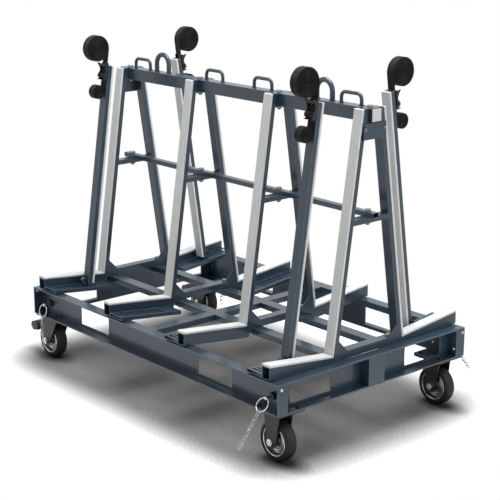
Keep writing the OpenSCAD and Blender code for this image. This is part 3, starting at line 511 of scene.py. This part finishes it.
def fit_pads():
    """The pads of the legs, the feet and the posts, and the ridge beam's end caps with a black
    sheet of painted shade behind each.
    """
    for node in ("leg_pads", "foot_pads"):
        eased(node, PAD, PAD_EDGE, PAD_SEGMENTS)
    for corner in CORNERS:
        eased(corner + "_post_pad", PAD, PAD_EDGE, PAD_SEGMENTS, rise=POST_RISE[corner])
    caps, shade_sheets = Part("beam_end_caps_moulded"), Part("beam_end_shade_sheets")
    low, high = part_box("beam_end_caps")
    for side in SIDES:
        at = along((side * (high.x - CAP_T), 0, middle(low.z, high.z)), (side, 0, 0))
        # The black sheet is painted shade for the gap between the beam and its saddle plates
        shade_sheets.prism(square(SHADE_SHEET_HALF_W), 0, SHADE_SHEET_T, at)
        caps.prism(square(CAP_HALF_W), CAP_FROM, CAP_T, at)
    caps.ease(CAP_EDGE, 3).done(CAP, "cart", replaces=["beam_end_caps"])
    shade_sheets.done(BLACK, "cart")


def rod_path(width, height, rod, bend, centre_x, base_z, steps=8):
    """The middle line of an upright loop over the beam."""
    top = base_z + height - rod / 2
    points = [(centre_x + width / 2, 0, base_z - 0.001), (centre_x + width / 2, 0, top - bend)]
    for i in range(1, steps + 1):
        a = pi / 2 * i / steps
        points.append((centre_x + width / 2 - bend + bend * cos(a), 0, top - bend + bend * sin(a)))
    mirrored = [(2 * centre_x - x, y, z) for x, y, z in reversed(points)]
    return points + (mirrored if bend < width / 2 else mirrored[1:])


# A weld bead: its radius, the length between its points, the depth and length of its ripples, and
# how thin it is where it starts and ends
WELD_R = 0.0022
WELD_STEP = 0.0013
RIPPLE = 0.16
RIPPLE_L = 0.0045
WELD_END = 0.6


def weld_round(part, centre, radius, corners=24):
    """A weld bead around the foot of a rod: a half-sunk ring whose thickness ripples along it.
    The ring has as many corners as given, and more points between them."""
    ring = [Vector((x, y, centre[2])) for x, y in circle(radius, corners, centre)]
    points, radii, run = [], [], 0.0
    for a, b in zip(ring, ring[1:] + ring[:1]):
        count = max(2, int((b - a).length / WELD_STEP))
        for i in range(count):
            points.append(a.lerp(b, i / count))
            radii.append(WELD_R * (1 + RIPPLE * sin(tau * run / RIPPLE_L)))
            run += (b - a).length / count
    points.append(ring[0])
    radii.append(WELD_R * WELD_END)
    radii[0] = WELD_R * WELD_END
    part.sweep(points, radii, sides=8)


# Loops of rod on the ridge beam: places, and width, height and rod; the handles' corners bend by
# this many rods, and a weld stands this far above the beam
HANDLE_XS = (-0.637, -0.149, 0.149, 0.637)
HANDLE = (0.104, 0.049, 0.014)
BAIL_XS = (-0.496, 0.496)
BAIL = (0.083, 0.085, 0.020)
BEND = 1.5
WELD_UP = 0.0004


def bend_handles():
    """The carry handles, whose corners are bent, the lifting bails with round tops, and welds."""
    beam_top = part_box("ridge_beam")[1].z
    handles, bails, beads = Part("carry_handle_rods"), Part("lifting_bail_rods"), Part("rod_welds")
    handle_bend, bail_bend = BEND * HANDLE[2], BAIL[0] / 2
    for part, xs, (width, height, rod), bend in ((handles, HANDLE_XS, HANDLE, handle_bend),
                                                 (bails, BAIL_XS, BAIL, bail_bend)):
        for x in xs:
            part.sweep(rod_path(width, height, rod, bend, x, beam_top), rod / 2, sides=24)
            for side in SIDES:
                foot = (x + side * width / 2, 0, beam_top + WELD_UP)
                weld_round(beads, foot, rod / 2 + WELD_UP)
    handles.done(PAINT, "cart", replaces=["carry_handles"])
    bails.done(PAINT, "cart", replaces=["lifting_bails"])
    beads.done(PAINT, "cart")


# Bolts: grip, diameter, width across flats, height of head and nut, and thread beyond the nut. The
# beam's bolts also hold the bottom bars on the stringers
BEAM_BOLT = (0.055, 0.012, 0.0225, 0.0068, 0.0040)
RAIL_BOLT = (0.040, 0.012, 0.0225, 0.0068, 0.0040)
END_BOLT = (0.005, 0.008, 0.0108, 0.0030, 0.0018)
PLATE_BOLT = (0.014, 0.010, 0.0170, 0.0048, 0.0008)
WASHER_T = 0.0018
# Where they sit: the stringers' Y, how far the bottom bars' tops lie over the base, the end plates'
# bolts, the casters' middles, and the plates' bolts around those
STRINGER_Y = 0.125
BAR_H = 0.030
END_BOLT_AT = (0.800, 0.485, 0.306)
CASTER_X = 0.725
CASTER_Y = 0.429
PLATE_BOLT_AT = (0.052, 0.046, 0.211)
# Screws without a nut, in the saddle plates and in the right part of the rear web: their places,
# width across flats, height and washer
SADDLE_SCREW_Y = 0.0497
SADDLE_SCREW_IN = 0.003
SADDLE_SCREW_DOWN = 0.075
SADDLE_SCREW = (0.0115, 0.0028, 0.0012)
WEB_SCREW_XS = (0.680, 0.788)
WEB_SCREW_Y = 0.452
WEB_SCREW_Z = 0.241
WEB_SCREW = (0.0108, 0.0040)


def hex_head(part, at, across, height, washer=WASHER_T):
    """A chamfered hexagon head on a washer, standing on the matrix's XY plane."""
    r, top = across / 2, washer + height
    rim = 0.0003
    part.spindle([(r * 1.12, 0), (r * 1.16, rim), (r * 1.16, washer - rim), (r * 1.12, washer)],
                 at, 36)
    part.spindle([(r, washer), (r, top - 0.09 * across), (r * 0.93, top - 0.03 * across),
                  (r * 0.86, top)], at, 6)


def thread(part, at, diameter, start, end, pitch=0.0016):
    """The threaded tip of a bolt, as fine rings, from one height to another."""
    profile, z, r = [], start, diameter / 2
    while z < end - pitch:
        profile += [(r * 0.88, z), (r, z + pitch / 2)]
        z += pitch
    profile += [(r * 0.88, end - 0.0006), (r * 0.75, end)]
    part.spindle(profile, at, 20)


def through_bolt(part, at, bolt):
    """A bolt with its head above the matrix's XY plane and a nut with a thread below its grip."""
    grip, diameter, across, height, tip = bolt
    hex_head(part, at, across, height)
    under = at @ Matrix.Translation((0, 0, -grip)) @ Matrix.Rotation(pi, 4, "X")
    hex_head(part, under, across, height)
    thread(part, under, diameter, height, height + WASHER_T + tip)


def fasten():
    """Every bolt of the frame and of the casters' plates."""
    beam, rail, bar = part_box("ridge_beam"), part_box("mid_rail"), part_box("a_frame_2")
    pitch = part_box("a_frame_3")[1].x - bar[1].x
    bar_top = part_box("front_channel")[1].z + BAR_H
    part = Part("frame_bolt_set")
    for k in (-1, 0, 1, 2):
        x = middle(bar[0].x, bar[1].x) + pitch * k
        through_bolt(part, Matrix.Translation((x, 0, beam[1].z)), BEAM_BOLT)
        through_bolt(part, Matrix.Translation((x, 0, rail[1].z)), RAIL_BOLT)
        for side in SIDES:
            through_bolt(part, Matrix.Translation((x, side * STRINGER_Y, bar_top)), BEAM_BOLT)
    for side in SIDES:
        x, z = side * (beam[1].x - SADDLE_SCREW_IN), beam[1].z - SADDLE_SCREW_DOWN
        for y in (-SADDLE_SCREW_Y, SADDLE_SCREW_Y):
            hex_head(part, along((x, y, z), (side, 0, 0)), *SADDLE_SCREW)
    part.done(ZINC, "cart", replaces=["frame_bolts"])

    part = Part("base_bolt_set")
    end_x, end_y, end_z = END_BOLT_AT
    for side in SIDES:
        for y in (-end_y, end_y):
            at = frame_at((side * end_x, y, end_z), (0, 1, 0), (0, 0, side), (side, 0, 0))
            through_bolt(part, at, END_BOLT)
    for x in WEB_SCREW_XS:
        hex_head(part, along((x, WEB_SCREW_Y, WEB_SCREW_Z), (0, -1, 0)), *WEB_SCREW)
    part.done(NICKEL, "cart")

    part = Part("plate_bolt_set")
    off_x, off_y, plate_z = PLATE_BOLT_AT
    for x, y in ((sx * CASTER_X, sy * CASTER_Y) for sx in SIDES for sy in SIDES):
        for dx in (-off_x, off_x):
            for dy in (-off_y, off_y):
                through_bolt(part, Matrix.Translation((x + dx, y + dy, plate_z)), PLATE_BOLT)
    part.done(BLACK, "cart", replaces=["plate_bolts"])


# Half profiles of a wheel as (radius, distance from its middle), and the thin bright rings on its
# disc, painted highlights along its ridges, as (radius, distance, half thickness)
TYRE_PROFILE = [(0.0600, -0.0225), (0.0608, -0.0243), (0.0628, -0.0250), (0.0652, -0.0246),
                (0.0660, -0.0238), (0.0668, -0.0246), (0.0700, -0.0243), (0.0735, -0.0226),
                (0.0765, -0.0196), (0.0785, -0.0155), (0.0796, -0.0105), (0.0800, -0.0050),
                (0.0800, 0)]
DISC_PROFILE = [(0.0082, 0.0290), (0.0152, 0.0290), (0.0160, 0.0280), (0.0165, 0.0140),
                (0.0200, 0.0095), (0.0260, 0.0070), (0.0320, 0.0080), (0.0370, 0.0105),
                (0.0410, 0.0100), (0.0450, 0.0072), (0.0500, 0.0085), (0.0525, 0.0140),
                (0.0540, 0.0205), (0.0560, 0.0222), (0.0585, 0.0226), (0.0600, 0.0220)]
GLINT_RINGS = [(0.0565, 0.0221, 0.0022), (0.0440, 0.0078, 0.0016), (0.0360, 0.0101, 0.0021),
                (0.0265, 0.0070, 0.0013)]


def both_faces(profile):
    """A closed profile from its half on one side of the wheel."""
    return profile + [(r, -z) for r, z in reversed(profile) if z]


def roll_wheels():
    for corner in CORNERS:
        low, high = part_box(corner + "_tyre")
        at = along(middle(low, high), (0, 1, 0))
        body = corner + "_wheel"
        tyre, disc = Part(corner + "_tyre_moulded"), Part(corner + "_wheel_centre")
        tyre.lathe(both_faces(TYRE_PROFILE), at, 96).done(TYRE, body, replaces=[corner + "_tyre"])
        disc.lathe(both_faces(DISC_PROFILE), at, 72).done(DISC, body, replaces=[corner + "_hub"])
        # Painted highlights: thin bright rings along the disc's ridges
        rings = Part(corner + "_wheel_rings")
        for radius, height, wire in GLINT_RINGS:
            for side in SIDES:
                rings.lathe(circle(wire, 10, (radius, side * height)), at, 72)
        rings.done(NICKEL, body)


# Faces of a fork's cheeks as seen from its middle, and levels of a swivel caster
FORK_OUT = 0.0365
FORK_IN = 0.0305
PLATE_Z = 0.1969
CROWN_Z = 0.1812
CASTER_EDGE = 0.001


def build_casters():
    """Plates with zinc races, forks with bright axles, and the pedals."""
    def on_axle(centre):
        """Whether a face lies on a fork's axle or pedal pin."""
        off = abs(abs(centre.y) - CASTER_Y)
        return off > FORK_OUT or off < FORK_IN and centre.z < CROWN_Z

    def on_race(centre):
        """Whether a face lies on a race under a plate."""
        return centre.z < PLATE_Z

    eased("caster_plates", BLACK, CASTER_EDGE, second=ZINC, is_second=on_race)
    eased("fixed_forks", BLACK, CASTER_EDGE, second=NICKEL, is_second=on_axle)
    for corner in ("left_front", "left_rear"):
        eased(corner + "_fork", BLACK, CASTER_EDGE, second=NICKEL, is_second=on_axle)
        press_pedal(corner)


# A brake pedal as seen from the caster's middle: a sleeve on its pin, and side views of its arm and
# of its tread, which is ribbed on top and has a screw in each side
PEDAL_BACK = 0.066
PEDAL_Z = 0.1771
PEDAL_EDGE = 0.0022
SLEEVE_Y = -0.0305
SLEEVE = [(0.0041, 0), (0.0085, 0), (0.0090, 0.0008), (0.0090, 0.0602), (0.0085, 0.0610),
          (0.0041, 0.0610)]
ARM_HALF_W = 0.0165
PEDAL_ARM = [(-PEDAL_BACK - 0.0045, PEDAL_Z + 0.0075), (-0.086, 0.1705), (-0.147, 0.1250),
             (-0.144, 0.1090), (-0.136, 0.1090), (-0.0770, 0.1735), (-PEDAL_BACK - 0.0085, PEDAL_Z)]
TREAD_Z = 0.1124
TREAD_HALF_W = 0.0235
TREAD = [(-0.188, TREAD_Z + 0.001), (-0.179, TREAD_Z + 0.0185), (-0.142, TREAD_Z + 0.0175),
         (-0.131, TREAD_Z + 0.0060), (-0.137, TREAD_Z - 0.0130), (-0.172, TREAD_Z - 0.0185)]
RIBS = 7
RIB_PITCH = 0.0043
RIB_AT = (-0.1745, TREAD_Z + 0.0172)
RIB = [(-0.0009, -0.019), (0.0009, -0.019), (0.0009, 0.019), (-0.0009, 0.019)]
RIB_H = 0.0016
PEDAL_SCREW_X = -0.166
PEDAL_SCREW_Y = 0.0228
PEDAL_SCREW = [(0.0036, 0), (0.0036, 0.0012), (0.0030, 0.0022), (0.0016, 0.0028)]


def press_pedal(corner):
    """A brake pedal, with its arm and sleeve as in its CAD node."""
    part = Part(corner + "_pedal_formed")
    at = Matrix.Translation((-CASTER_X, CORNERS[corner][1] * CASTER_Y, 0))
    part.lathe(SLEEVE, at @ along((-PEDAL_BACK, SLEEVE_Y, PEDAL_Z), (0, 1, 0)), 32)
    upright = at @ frame_at((0, 0, 0), (1, 0, 0), (0, 0, 1), (0, -1, 0))
    part.prism(PEDAL_ARM, -ARM_HALF_W, ARM_HALF_W, upright)
    part.prism(TREAD, -TREAD_HALF_W, TREAD_HALF_W, upright)
    part.ease(PEDAL_EDGE, 3)
    for k in range(RIBS):
        rib = at @ Matrix.Translation((RIB_AT[0] + RIB_PITCH * k, 0, RIB_AT[1]))
        part.prism(RIB, 0, RIB_H, rib)
    part.done(BLACK, corner + "_pedal", replaces=[corner + "_pedal"])
    screws = Part(corner + "_pedal_screws")
    for face in SIDES:
        screws.spindle(PEDAL_SCREW, at @ along((PEDAL_SCREW_X, face * PEDAL_SCREW_Y, TREAD_Z),
                                               (0, face, 0)), 20)
    screws.done(ZINC, corner + "_pedal")


# A chain: the number of its links, their spacing, outer length, outer width and wire's radius, and
# how far the first one's middle lies below its ring
LINKS = 8
LINK_STEP = 0.0191
LINK_L = 0.026
LINK_W = 0.0145
LINK_WIRE = 0.00175
FIRST_LINK = 0.0071
RING_R = 0.027
RING_WIRE = 0.002
# Leans in degrees of each ring and of the chain below it
CHAIN_LEANS = {"left_front": (15, 0), "right_front": (38, 38), "left_rear": (15, 0),
               "right_rear": (40, 40)}


def link_path(length, width, steps=8):
    """The middle line of a link: two straights and two half rounds."""
    r = width / 2
    reach = length / 2 - r
    top = [(r * cos(pi * k / steps), reach + r * sin(pi * k / steps)) for k in range(steps + 1)]
    return top + [(-x, -z) for x, z in top]


def hanging(side, lean):
    """The direction in which something hangs that leans away from the cart by an angle."""
    return Vector((0, side * sin(radians(lean)), -cos(radians(lean))))


def hang_chains():
    """A ring through each lock pin's ball, and the chain below it with a lean of its own."""
    path = link_path(LINK_L - 2 * LINK_WIRE, LINK_W - 2 * LINK_WIRE)
    sideways = Vector((1, 0, 0))
    for corner, (_, side) in CORNERS.items():
        ring_lean, chain_lean = CHAIN_LEANS[corner]
        pivot = Vector(joint(corner + "_chain_swing")["pos_m"])
        down = hanging(side, ring_lean)
        centre = pivot + down * RING_R
        ring = Part(corner + "_pin_ring")
        ring.sweep([centre + sideways * x - down * y for x, y in circle(RING_R, 60)], RING_WIRE, 14,
                   closed=True)
        ring.done(NICKEL, corner + "_chain")

        start = pivot + down * 2 * RING_R
        down = hanging(side, chain_lean)
        out = sideways.cross(-down)
        part = Part(corner + "_chain_links")
        for i in range(LINKS):
            centre = start + down * (FIRST_LINK + i * LINK_STEP)
            flat = sideways if i % 2 else out
            part.sweep([centre + flat * x - down * z for x, z in path], LINK_WIRE, 10, closed=True)
        part.done(LINK, corner + "_chain", replaces=[corner + "_chain"])


# Webbing, in its post's frame: the strap, the face that it lies against, and its two rolls
STRAP_W = 0.0355
STRAP_T = 0.0021
STRAP_Y = 0.0129
ROLL = {"turns": 22, "radius": 0.056, "core": 0.0042, "z": 1.030, "direction": 1}
SMALL_ROLL = {"turns": 12, "radius": 0.031, "core": 0.0035, "z": 0.848, "direction": -1}
# The straight between each roll and the ratchet: the points' spacing and number, and the small
# roll's last height
TAIL_STEP = 0.010
RISE_STEP = 0.006
STRAIGHT_POINTS = 8
RISE_TOP = 0.903
# The turn around the spool: the spool's radius, the turn's outer one, and the bend that leads to it
SPOOL_R = 0.0055
WRAP_R = 0.0095
KNEE = [(0.0005, 0.016), (0.002, 0.008)]


def spiral(centre, radius, turns, core, direction, steps=48):
    """A roll's middle line, from its core to its outside, ending on the side of -X."""
    points = []
    for i in range(turns * steps + 1):
        t = i / (turns * steps)
        a = pi + direction * tau * turns * (t - 1)
        r = core + (radius - core) * t
        points.append((centre[0] + r * cos(a), centre[1] + r * sin(a)))
    return points


def wind_straps():
    """Each post's webbing: a large roll over the ratchet, a turn around the spool and a small roll
    below."""
    half = STRAP_T / 2
    y = STRAP_Y + half

    def roll(turns, radius, core, z, direction):
        return spiral((STRAP_Y + radius, z), radius - half, turns, core, direction)

    straight = range(1, STRAIGHT_POINTS + 1)
    tail = [(y, ROLL["z"] - TAIL_STEP * k) for k in straight]
    knee = [(y + out, SPOOL_Z + up) for out, up in KNEE]
    around = spiral((SPOOL_Y, SPOOL_Z), WRAP_R, 1, SPOOL_R + half, 1)
    rise = [(y, SMALL_ROLL["z"] + RISE_STEP * k) for k in straight]
    for corner in CORNERS:
        at = post_matrix(corner)
        part = Part(corner + "_webbing")
        part.ribbon(roll(**ROLL) + tail + knee + around[::-1], STRAP_T, STRAP_W, at)
        part.ribbon(roll(**SMALL_ROLL) + rise + [(y, RISE_TOP)], STRAP_T, STRAP_W, at)
        part.done(WEBBING, corner + "_post", replaces=[corner + "_strap"])


# A ratchet in its post's frame: half the widths inside its side plates and inside its lever's arms,
# the sheet that both are made of, and the back plate's place and ends
CHEEK_IN = 0.0188
ARM_IN = 0.0217
SHEET_T = 0.0024
SHEET_EDGE = 0.0005
BACK_Y = 0.0100
BACK_Z = (0.8990, 0.9730)
# Side views: a side plate with a slot near its foot, and an arm that flares at its top
CHEEK = [(0.0100, 0.8990), (0.0240, 0.8992), (0.0325, 0.9005), (0.0335, 0.9030), (0.0262, 0.9040),
         (0.0240, 0.9060), (0.0262, 0.9082), (0.0318, 0.9100), (0.0312, 0.9160), (0.0308, 0.9215),
         (0.0275, 0.9270), (0.0215, 0.9325), (0.0185, 0.9400), (0.0175, 0.9540), (0.0170, 0.9650),
         (0.0160, 0.9725), (0.0100, 0.9730)]
ARM = [(0.0180, 0.9125), (0.0240, 0.9106), (0.0298, 0.9125), (0.0318, 0.9180), (0.0300, 0.9250),
       (0.0250, 0.9310), (0.0218, 0.9370), (0.0214, 0.9430), (0.0235, 0.9500), (0.0285, 0.9580),
       (0.0350, 0.9655), (0.0390, 0.9712), (0.0345, 0.9722), (0.0240, 0.9700), (0.0165, 0.9660),
       (0.0130, 0.9560), (0.0125, 0.9400), (0.0140, 0.9260), (0.0160, 0.9180)]
SPOOL = [(0.0049, -0.0245), (SPOOL_R, -0.0240), (SPOOL_R, 0.0240), (0.0049, 0.0245)]
# Discs on the spool's ends, outside the arms
END_DISC = [(0.0040, 0.0241), (0.0058, 0.0243), (0.0058, 0.0254), (0.0040, 0.0259)]
# The lever's grip: its place, radius, ends and grooves
GRIP_AT = (0.0283, 0.963)
GRIP_R = 0.0054
GRIP_END = [(GRIP_R, 0.0206), (GRIP_R - 0.0012, 0.0216)]
GROOVES = 13
GROOVE_FROM = -0.0192
GROOVE_PITCH = 0.0032
GROOVE_HALF = 0.0007
GROOVE_DEEP = 0.0006


def flipped(profile):
    """A profile seen from its other end."""
    return [(r, -z) for r, z in reversed(profile)]


def grip_profile():
    """The grip's profile, with its grooves."""
    profile = flipped(GRIP_END)
    for k in range(GROOVES):
        z = GROOVE_FROM + GROOVE_PITCH * k
        profile += [(GRIP_R, z - GROOVE_HALF), (GRIP_R - GROOVE_DEEP, z), (GRIP_R, z + GROOVE_HALF)]
    return profile + GRIP_END


def build_ratchets():
    """A spool between two side plates, and the lever whose arms flare out to its grip."""
    half = CHEEK_IN + SHEET_T
    back = [(-half, BACK_Z[0]), (half, BACK_Z[0]), (half, BACK_Z[1]), (-half, BACK_Z[1])]
    sideways = Matrix.Rotation(pi / 2, 4, "Y")
    for corner in CORNERS:
        at = post_matrix(corner)
        level = at @ frame_at((0, 0, 0), (0, 1, 0), (0, 0, 1), (1, 0, 0))
        facing = at @ frame_at((0, 0, 0), (1, 0, 0), (0, 0, 1), (0, -1, 0))
        body, lever = Part(corner + "_ratchet_frame"), Part(corner + "_lever_formed")
        body.prism(back, -BACK_Y - SHEET_T, -BACK_Y, facing)
        for part, outline, inside in ((body, CHEEK, CHEEK_IN), (lever, ARM, ARM_IN)):
            for inner in (-inside - SHEET_T, inside):
                part.prism(outline, inner, inner + SHEET_T, level)
            part.ease(SHEET_EDGE)
        across = at @ Matrix.Translation((0, SPOOL_Y, SPOOL_Z)) @ sideways
        body.spindle(SPOOL, across, 24)
        body.done(BLACK, corner + "_post", replaces=[corner + "_ratchet"])
        lever.spindle(grip_profile(), at @ Matrix.Translation((0, *GRIP_AT)) @ sideways, 28)
        lever.spindle(flipped(END_DISC), across, 20)
        lever.spindle(END_DISC, across, 20)
        lever.done(BLACK, corner + "_lever", replaces=[corner + "_lever"])


# A lock pin: where its shank starts, where its boss stands on the web, and profiles; a shank's
# heights from its pivot are negative
PIN_START_Y = 0.447
BOSS_Y = 0.457
BALL_R = 0.007
SHANK_START = [(0.0044, 0), (0.0049, 0.0006)]
SHANK_END = [(0.0049, -0.0055), (0.0036, -0.0045)]
BOSS = [(0.0053, 0), (0.0150, 0), (0.0150, 0.0100), (0.0135, 0.0128), (0.0100, 0.0140),
        (0.0060, 0.0140), (0.0053, 0.0132)]


def finish_lock_pins():
    """Each lock pin: a shank through the web, a boss around it and a bright ball at its end."""
    pins, bosses = Part("lock_pin_set"), Part("lock_pin_bosses")
    for corner, (_, side) in CORNERS.items():
        pivot = Vector(joint(corner + "_chain_swing")["pos_m"])
        at = along((pivot.x, side * PIN_START_Y, pivot.z), (0, side, 0))
        reach = abs(pivot.y) - PIN_START_Y
        pins.spindle(SHANK_START + [(r, reach + z) for r, z in SHANK_END], at, 28)
        angles = [pi * k / 16 for k in range(1, 16)]
        pins.spindle([(BALL_R * sin(a), reach - BALL_R * cos(a)) for a in angles], at, 32)
        bosses.lathe(BOSS, along((pivot.x, side * BOSS_Y, pivot.z), (0, side, 0)), 44)
    pins.done(NICKEL, "cart", replaces=["lock_pins"])
    bosses.done(BLACK, "cart")


# The studio: lamps as (name, place, size, watts), the point that they face, and the world's light
LAMPS = [("top", (0.3, 0.3, 4.2), 2.4, 205), ("right", (4.2, 1.0, 2.6), 2.0, 55),
         ("left", (-3.2, -3.6, 2.6), 2.0, 16)]
LAMPS_FACE = (0, 0, 0.6)
AMBIENT = 0.42
# The floor: half its side, its height, and its colour for light and for the eye
FLOOR = 12
FLOOR_Z = -0.0003
FLOOR_COLOUR = (0.8, 0.8, 0.8, 1)
FLOOR_GAIN = 1.5
# The painted shadow under the cart, a grey pool on the floor: half sizes of its even part, the
# width of its fade, how much wider the floor turns to plain white, its colour, and how dark the
# grain is
PAINTED_SHADOW_X = 0.64
PAINTED_SHADOW_Y = 0.34
PAINTED_SHADOW_FADE = 0.39
PAINTED_SHADOW_END = 1.7
PAINTED_SHADOW_DARK = 0.21
FLOOR_GRAIN = 0.42
# The painted shadows under the wheels, dark spots on the floor: their place, the inverse of their
# half sizes, the share that is evenly dark, their strength and colour
WHEEL_SHADOW_AT = (0.760, 0.425, 0)
WHEEL_SHADOW_FADE = (7, 13, 0)
WHEEL_SHADOW_EVEN = 0.25
WHEEL_SHADOW_STRENGTH = 0.85
WHEEL_SHADOW_COLOUR = (0.01, 0.01, 0.01, 1)


def grey(level):
    return (level, level, level, 1)


def light_world(scene):
    """Plain light from all around, with white behind everything that is seen or mirrored."""
    world = scene.world or bpy.data.worlds.new("studio")
    scene.world = world
    world.use_nodes = True
    world.node_tree.nodes.clear()
    tree = Nodes(world.node_tree)
    ambient = tree.node("Background", Color=WHITE, Strength=AMBIENT)
    white = tree.node("Background", Color=WHITE, Strength=1.0)
    shown = tree.blend(tree.white_seen(), ambient.outputs[0], white.outputs[0])
    tree.node("OutputWorld", Surface=shown)


def lay_floor(scene):
    """A floor whose painted shadow, a grey pool near the cart, fades into plain white, with painted
    shadows under the wheels.
    """
    mesh = bpy.data.meshes.new("floor")
    mesh.from_pydata([(x, y, 0) for x, y in square(FLOOR)], [], [(0, 1, 2, 3)])
    plane = bpy.data.objects.new("floor", mesh)
    plane.location.z = FLOOR_Z
    scene.collection.objects.link(plane)
    material = bpy.data.materials.new("floor")
    material.use_nodes = True
    material.node_tree.nodes.clear()
    tree = Nodes(material.node_tree)

    # Painted shadow: the floor turns grey near the cart
    past_shadow = tree.distance([("ABSOLUTE", None), ("SUBTRACT", (PAINTED_SHADOW_X, PAINTED_SHADOW_Y, 0)),
                               ("MAXIMUM", (0, 0, 0))])
    fade = tree.maths("POWER", tree.remap(past_shadow, 0, PAINTED_SHADOW_FADE, 0, 1), 2)
    tone = tree.mix(fade, grey(PAINTED_SHADOW_DARK), grey(FLOOR_GAIN))
    grain = tree.remap(tree.noise(190, 2), 0.35, 0.65, 0, 1)
    tone = tree.mix(grain, tree.mix(FLOOR_GRAIN, tone, grey(0)), tone)
    # Painted shadows: dark spots on the floor under the wheels
    from_wheel = tree.distance([("ABSOLUTE", None), ("SUBTRACT", WHEEL_SHADOW_AT),
                                ("MULTIPLY", WHEEL_SHADOW_FADE)])
    dark = tree.remap(from_wheel, WHEEL_SHADOW_EVEN, 1, WHEEL_SHADOW_STRENGTH, 0)
    shown = tree.node("BsdfDiffuse", Color=tree.mix(dark, tone, WHEEL_SHADOW_COLOUR))
    glow = tree.node("Emission", Color=WHITE, Strength=1.0)
    edge = tree.remap(past_shadow, PAINTED_SHADOW_FADE, PAINTED_SHADOW_END * PAINTED_SHADOW_FADE, 0, 1)
    faded = tree.blend(edge, shown.outputs[0], glow.outputs[0])
    plain = tree.node("BsdfDiffuse", Color=FLOOR_COLOUR)
    tree.node("OutputMaterial", Surface=tree.blend(tree.white_seen(), plain.outputs[0], faded))
    mesh.materials.append(material)


def light_stage():
    """A white studio with three soft lamps."""
    scene = bpy.context.scene
    scene.view_settings.view_transform = "Standard"
    light_world(scene)
    lay_floor(scene)
    for name, at, size, watts in LAMPS:
        data = bpy.data.lights.new(name, "AREA")
        data.shape = "SQUARE"
        data.size = size
        data.energy = watts
        lamp = bpy.data.objects.new(name, data)
        lamp.location = at
        lamp.rotation_euler = (Vector(LAMPS_FACE) - Vector(at)).to_track_quat("-Z", "Y").to_euler()
        scene.collection.objects.link(lamp)


# The photograph's camera
CAMERA_AT = (4.082, -3.470, 2.0257)
CAMERA_YAW = 139.136
CAMERA_PITCH = -15.228
FOCAL_PX = 1344
PHOTO_PX = 500
SENSOR_MM = 36
CAMERA_REACH = 60


def make_camera():
    data = bpy.data.cameras.new("camera")
    data.sensor_width = SENSOR_MM
    data.lens = FOCAL_PX / PHOTO_PX * SENSOR_MM
    data.clip_end = CAMERA_REACH
    camera = bpy.data.objects.new("camera", data)
    camera.location = CAMERA_AT
    camera.rotation_euler = (radians(90 + CAMERA_PITCH), 0, radians(CAMERA_YAW - 90))
    bpy.context.scene.collection.objects.link(camera)
    bpy.context.scene.camera = camera


make_camera()
light_stage()
paint_steel()
fit_pads()
bend_handles()
fasten()
roll_wheels()
build_casters()
hang_chains()
wind_straps()
build_ratchets()
finish_lock_pins()
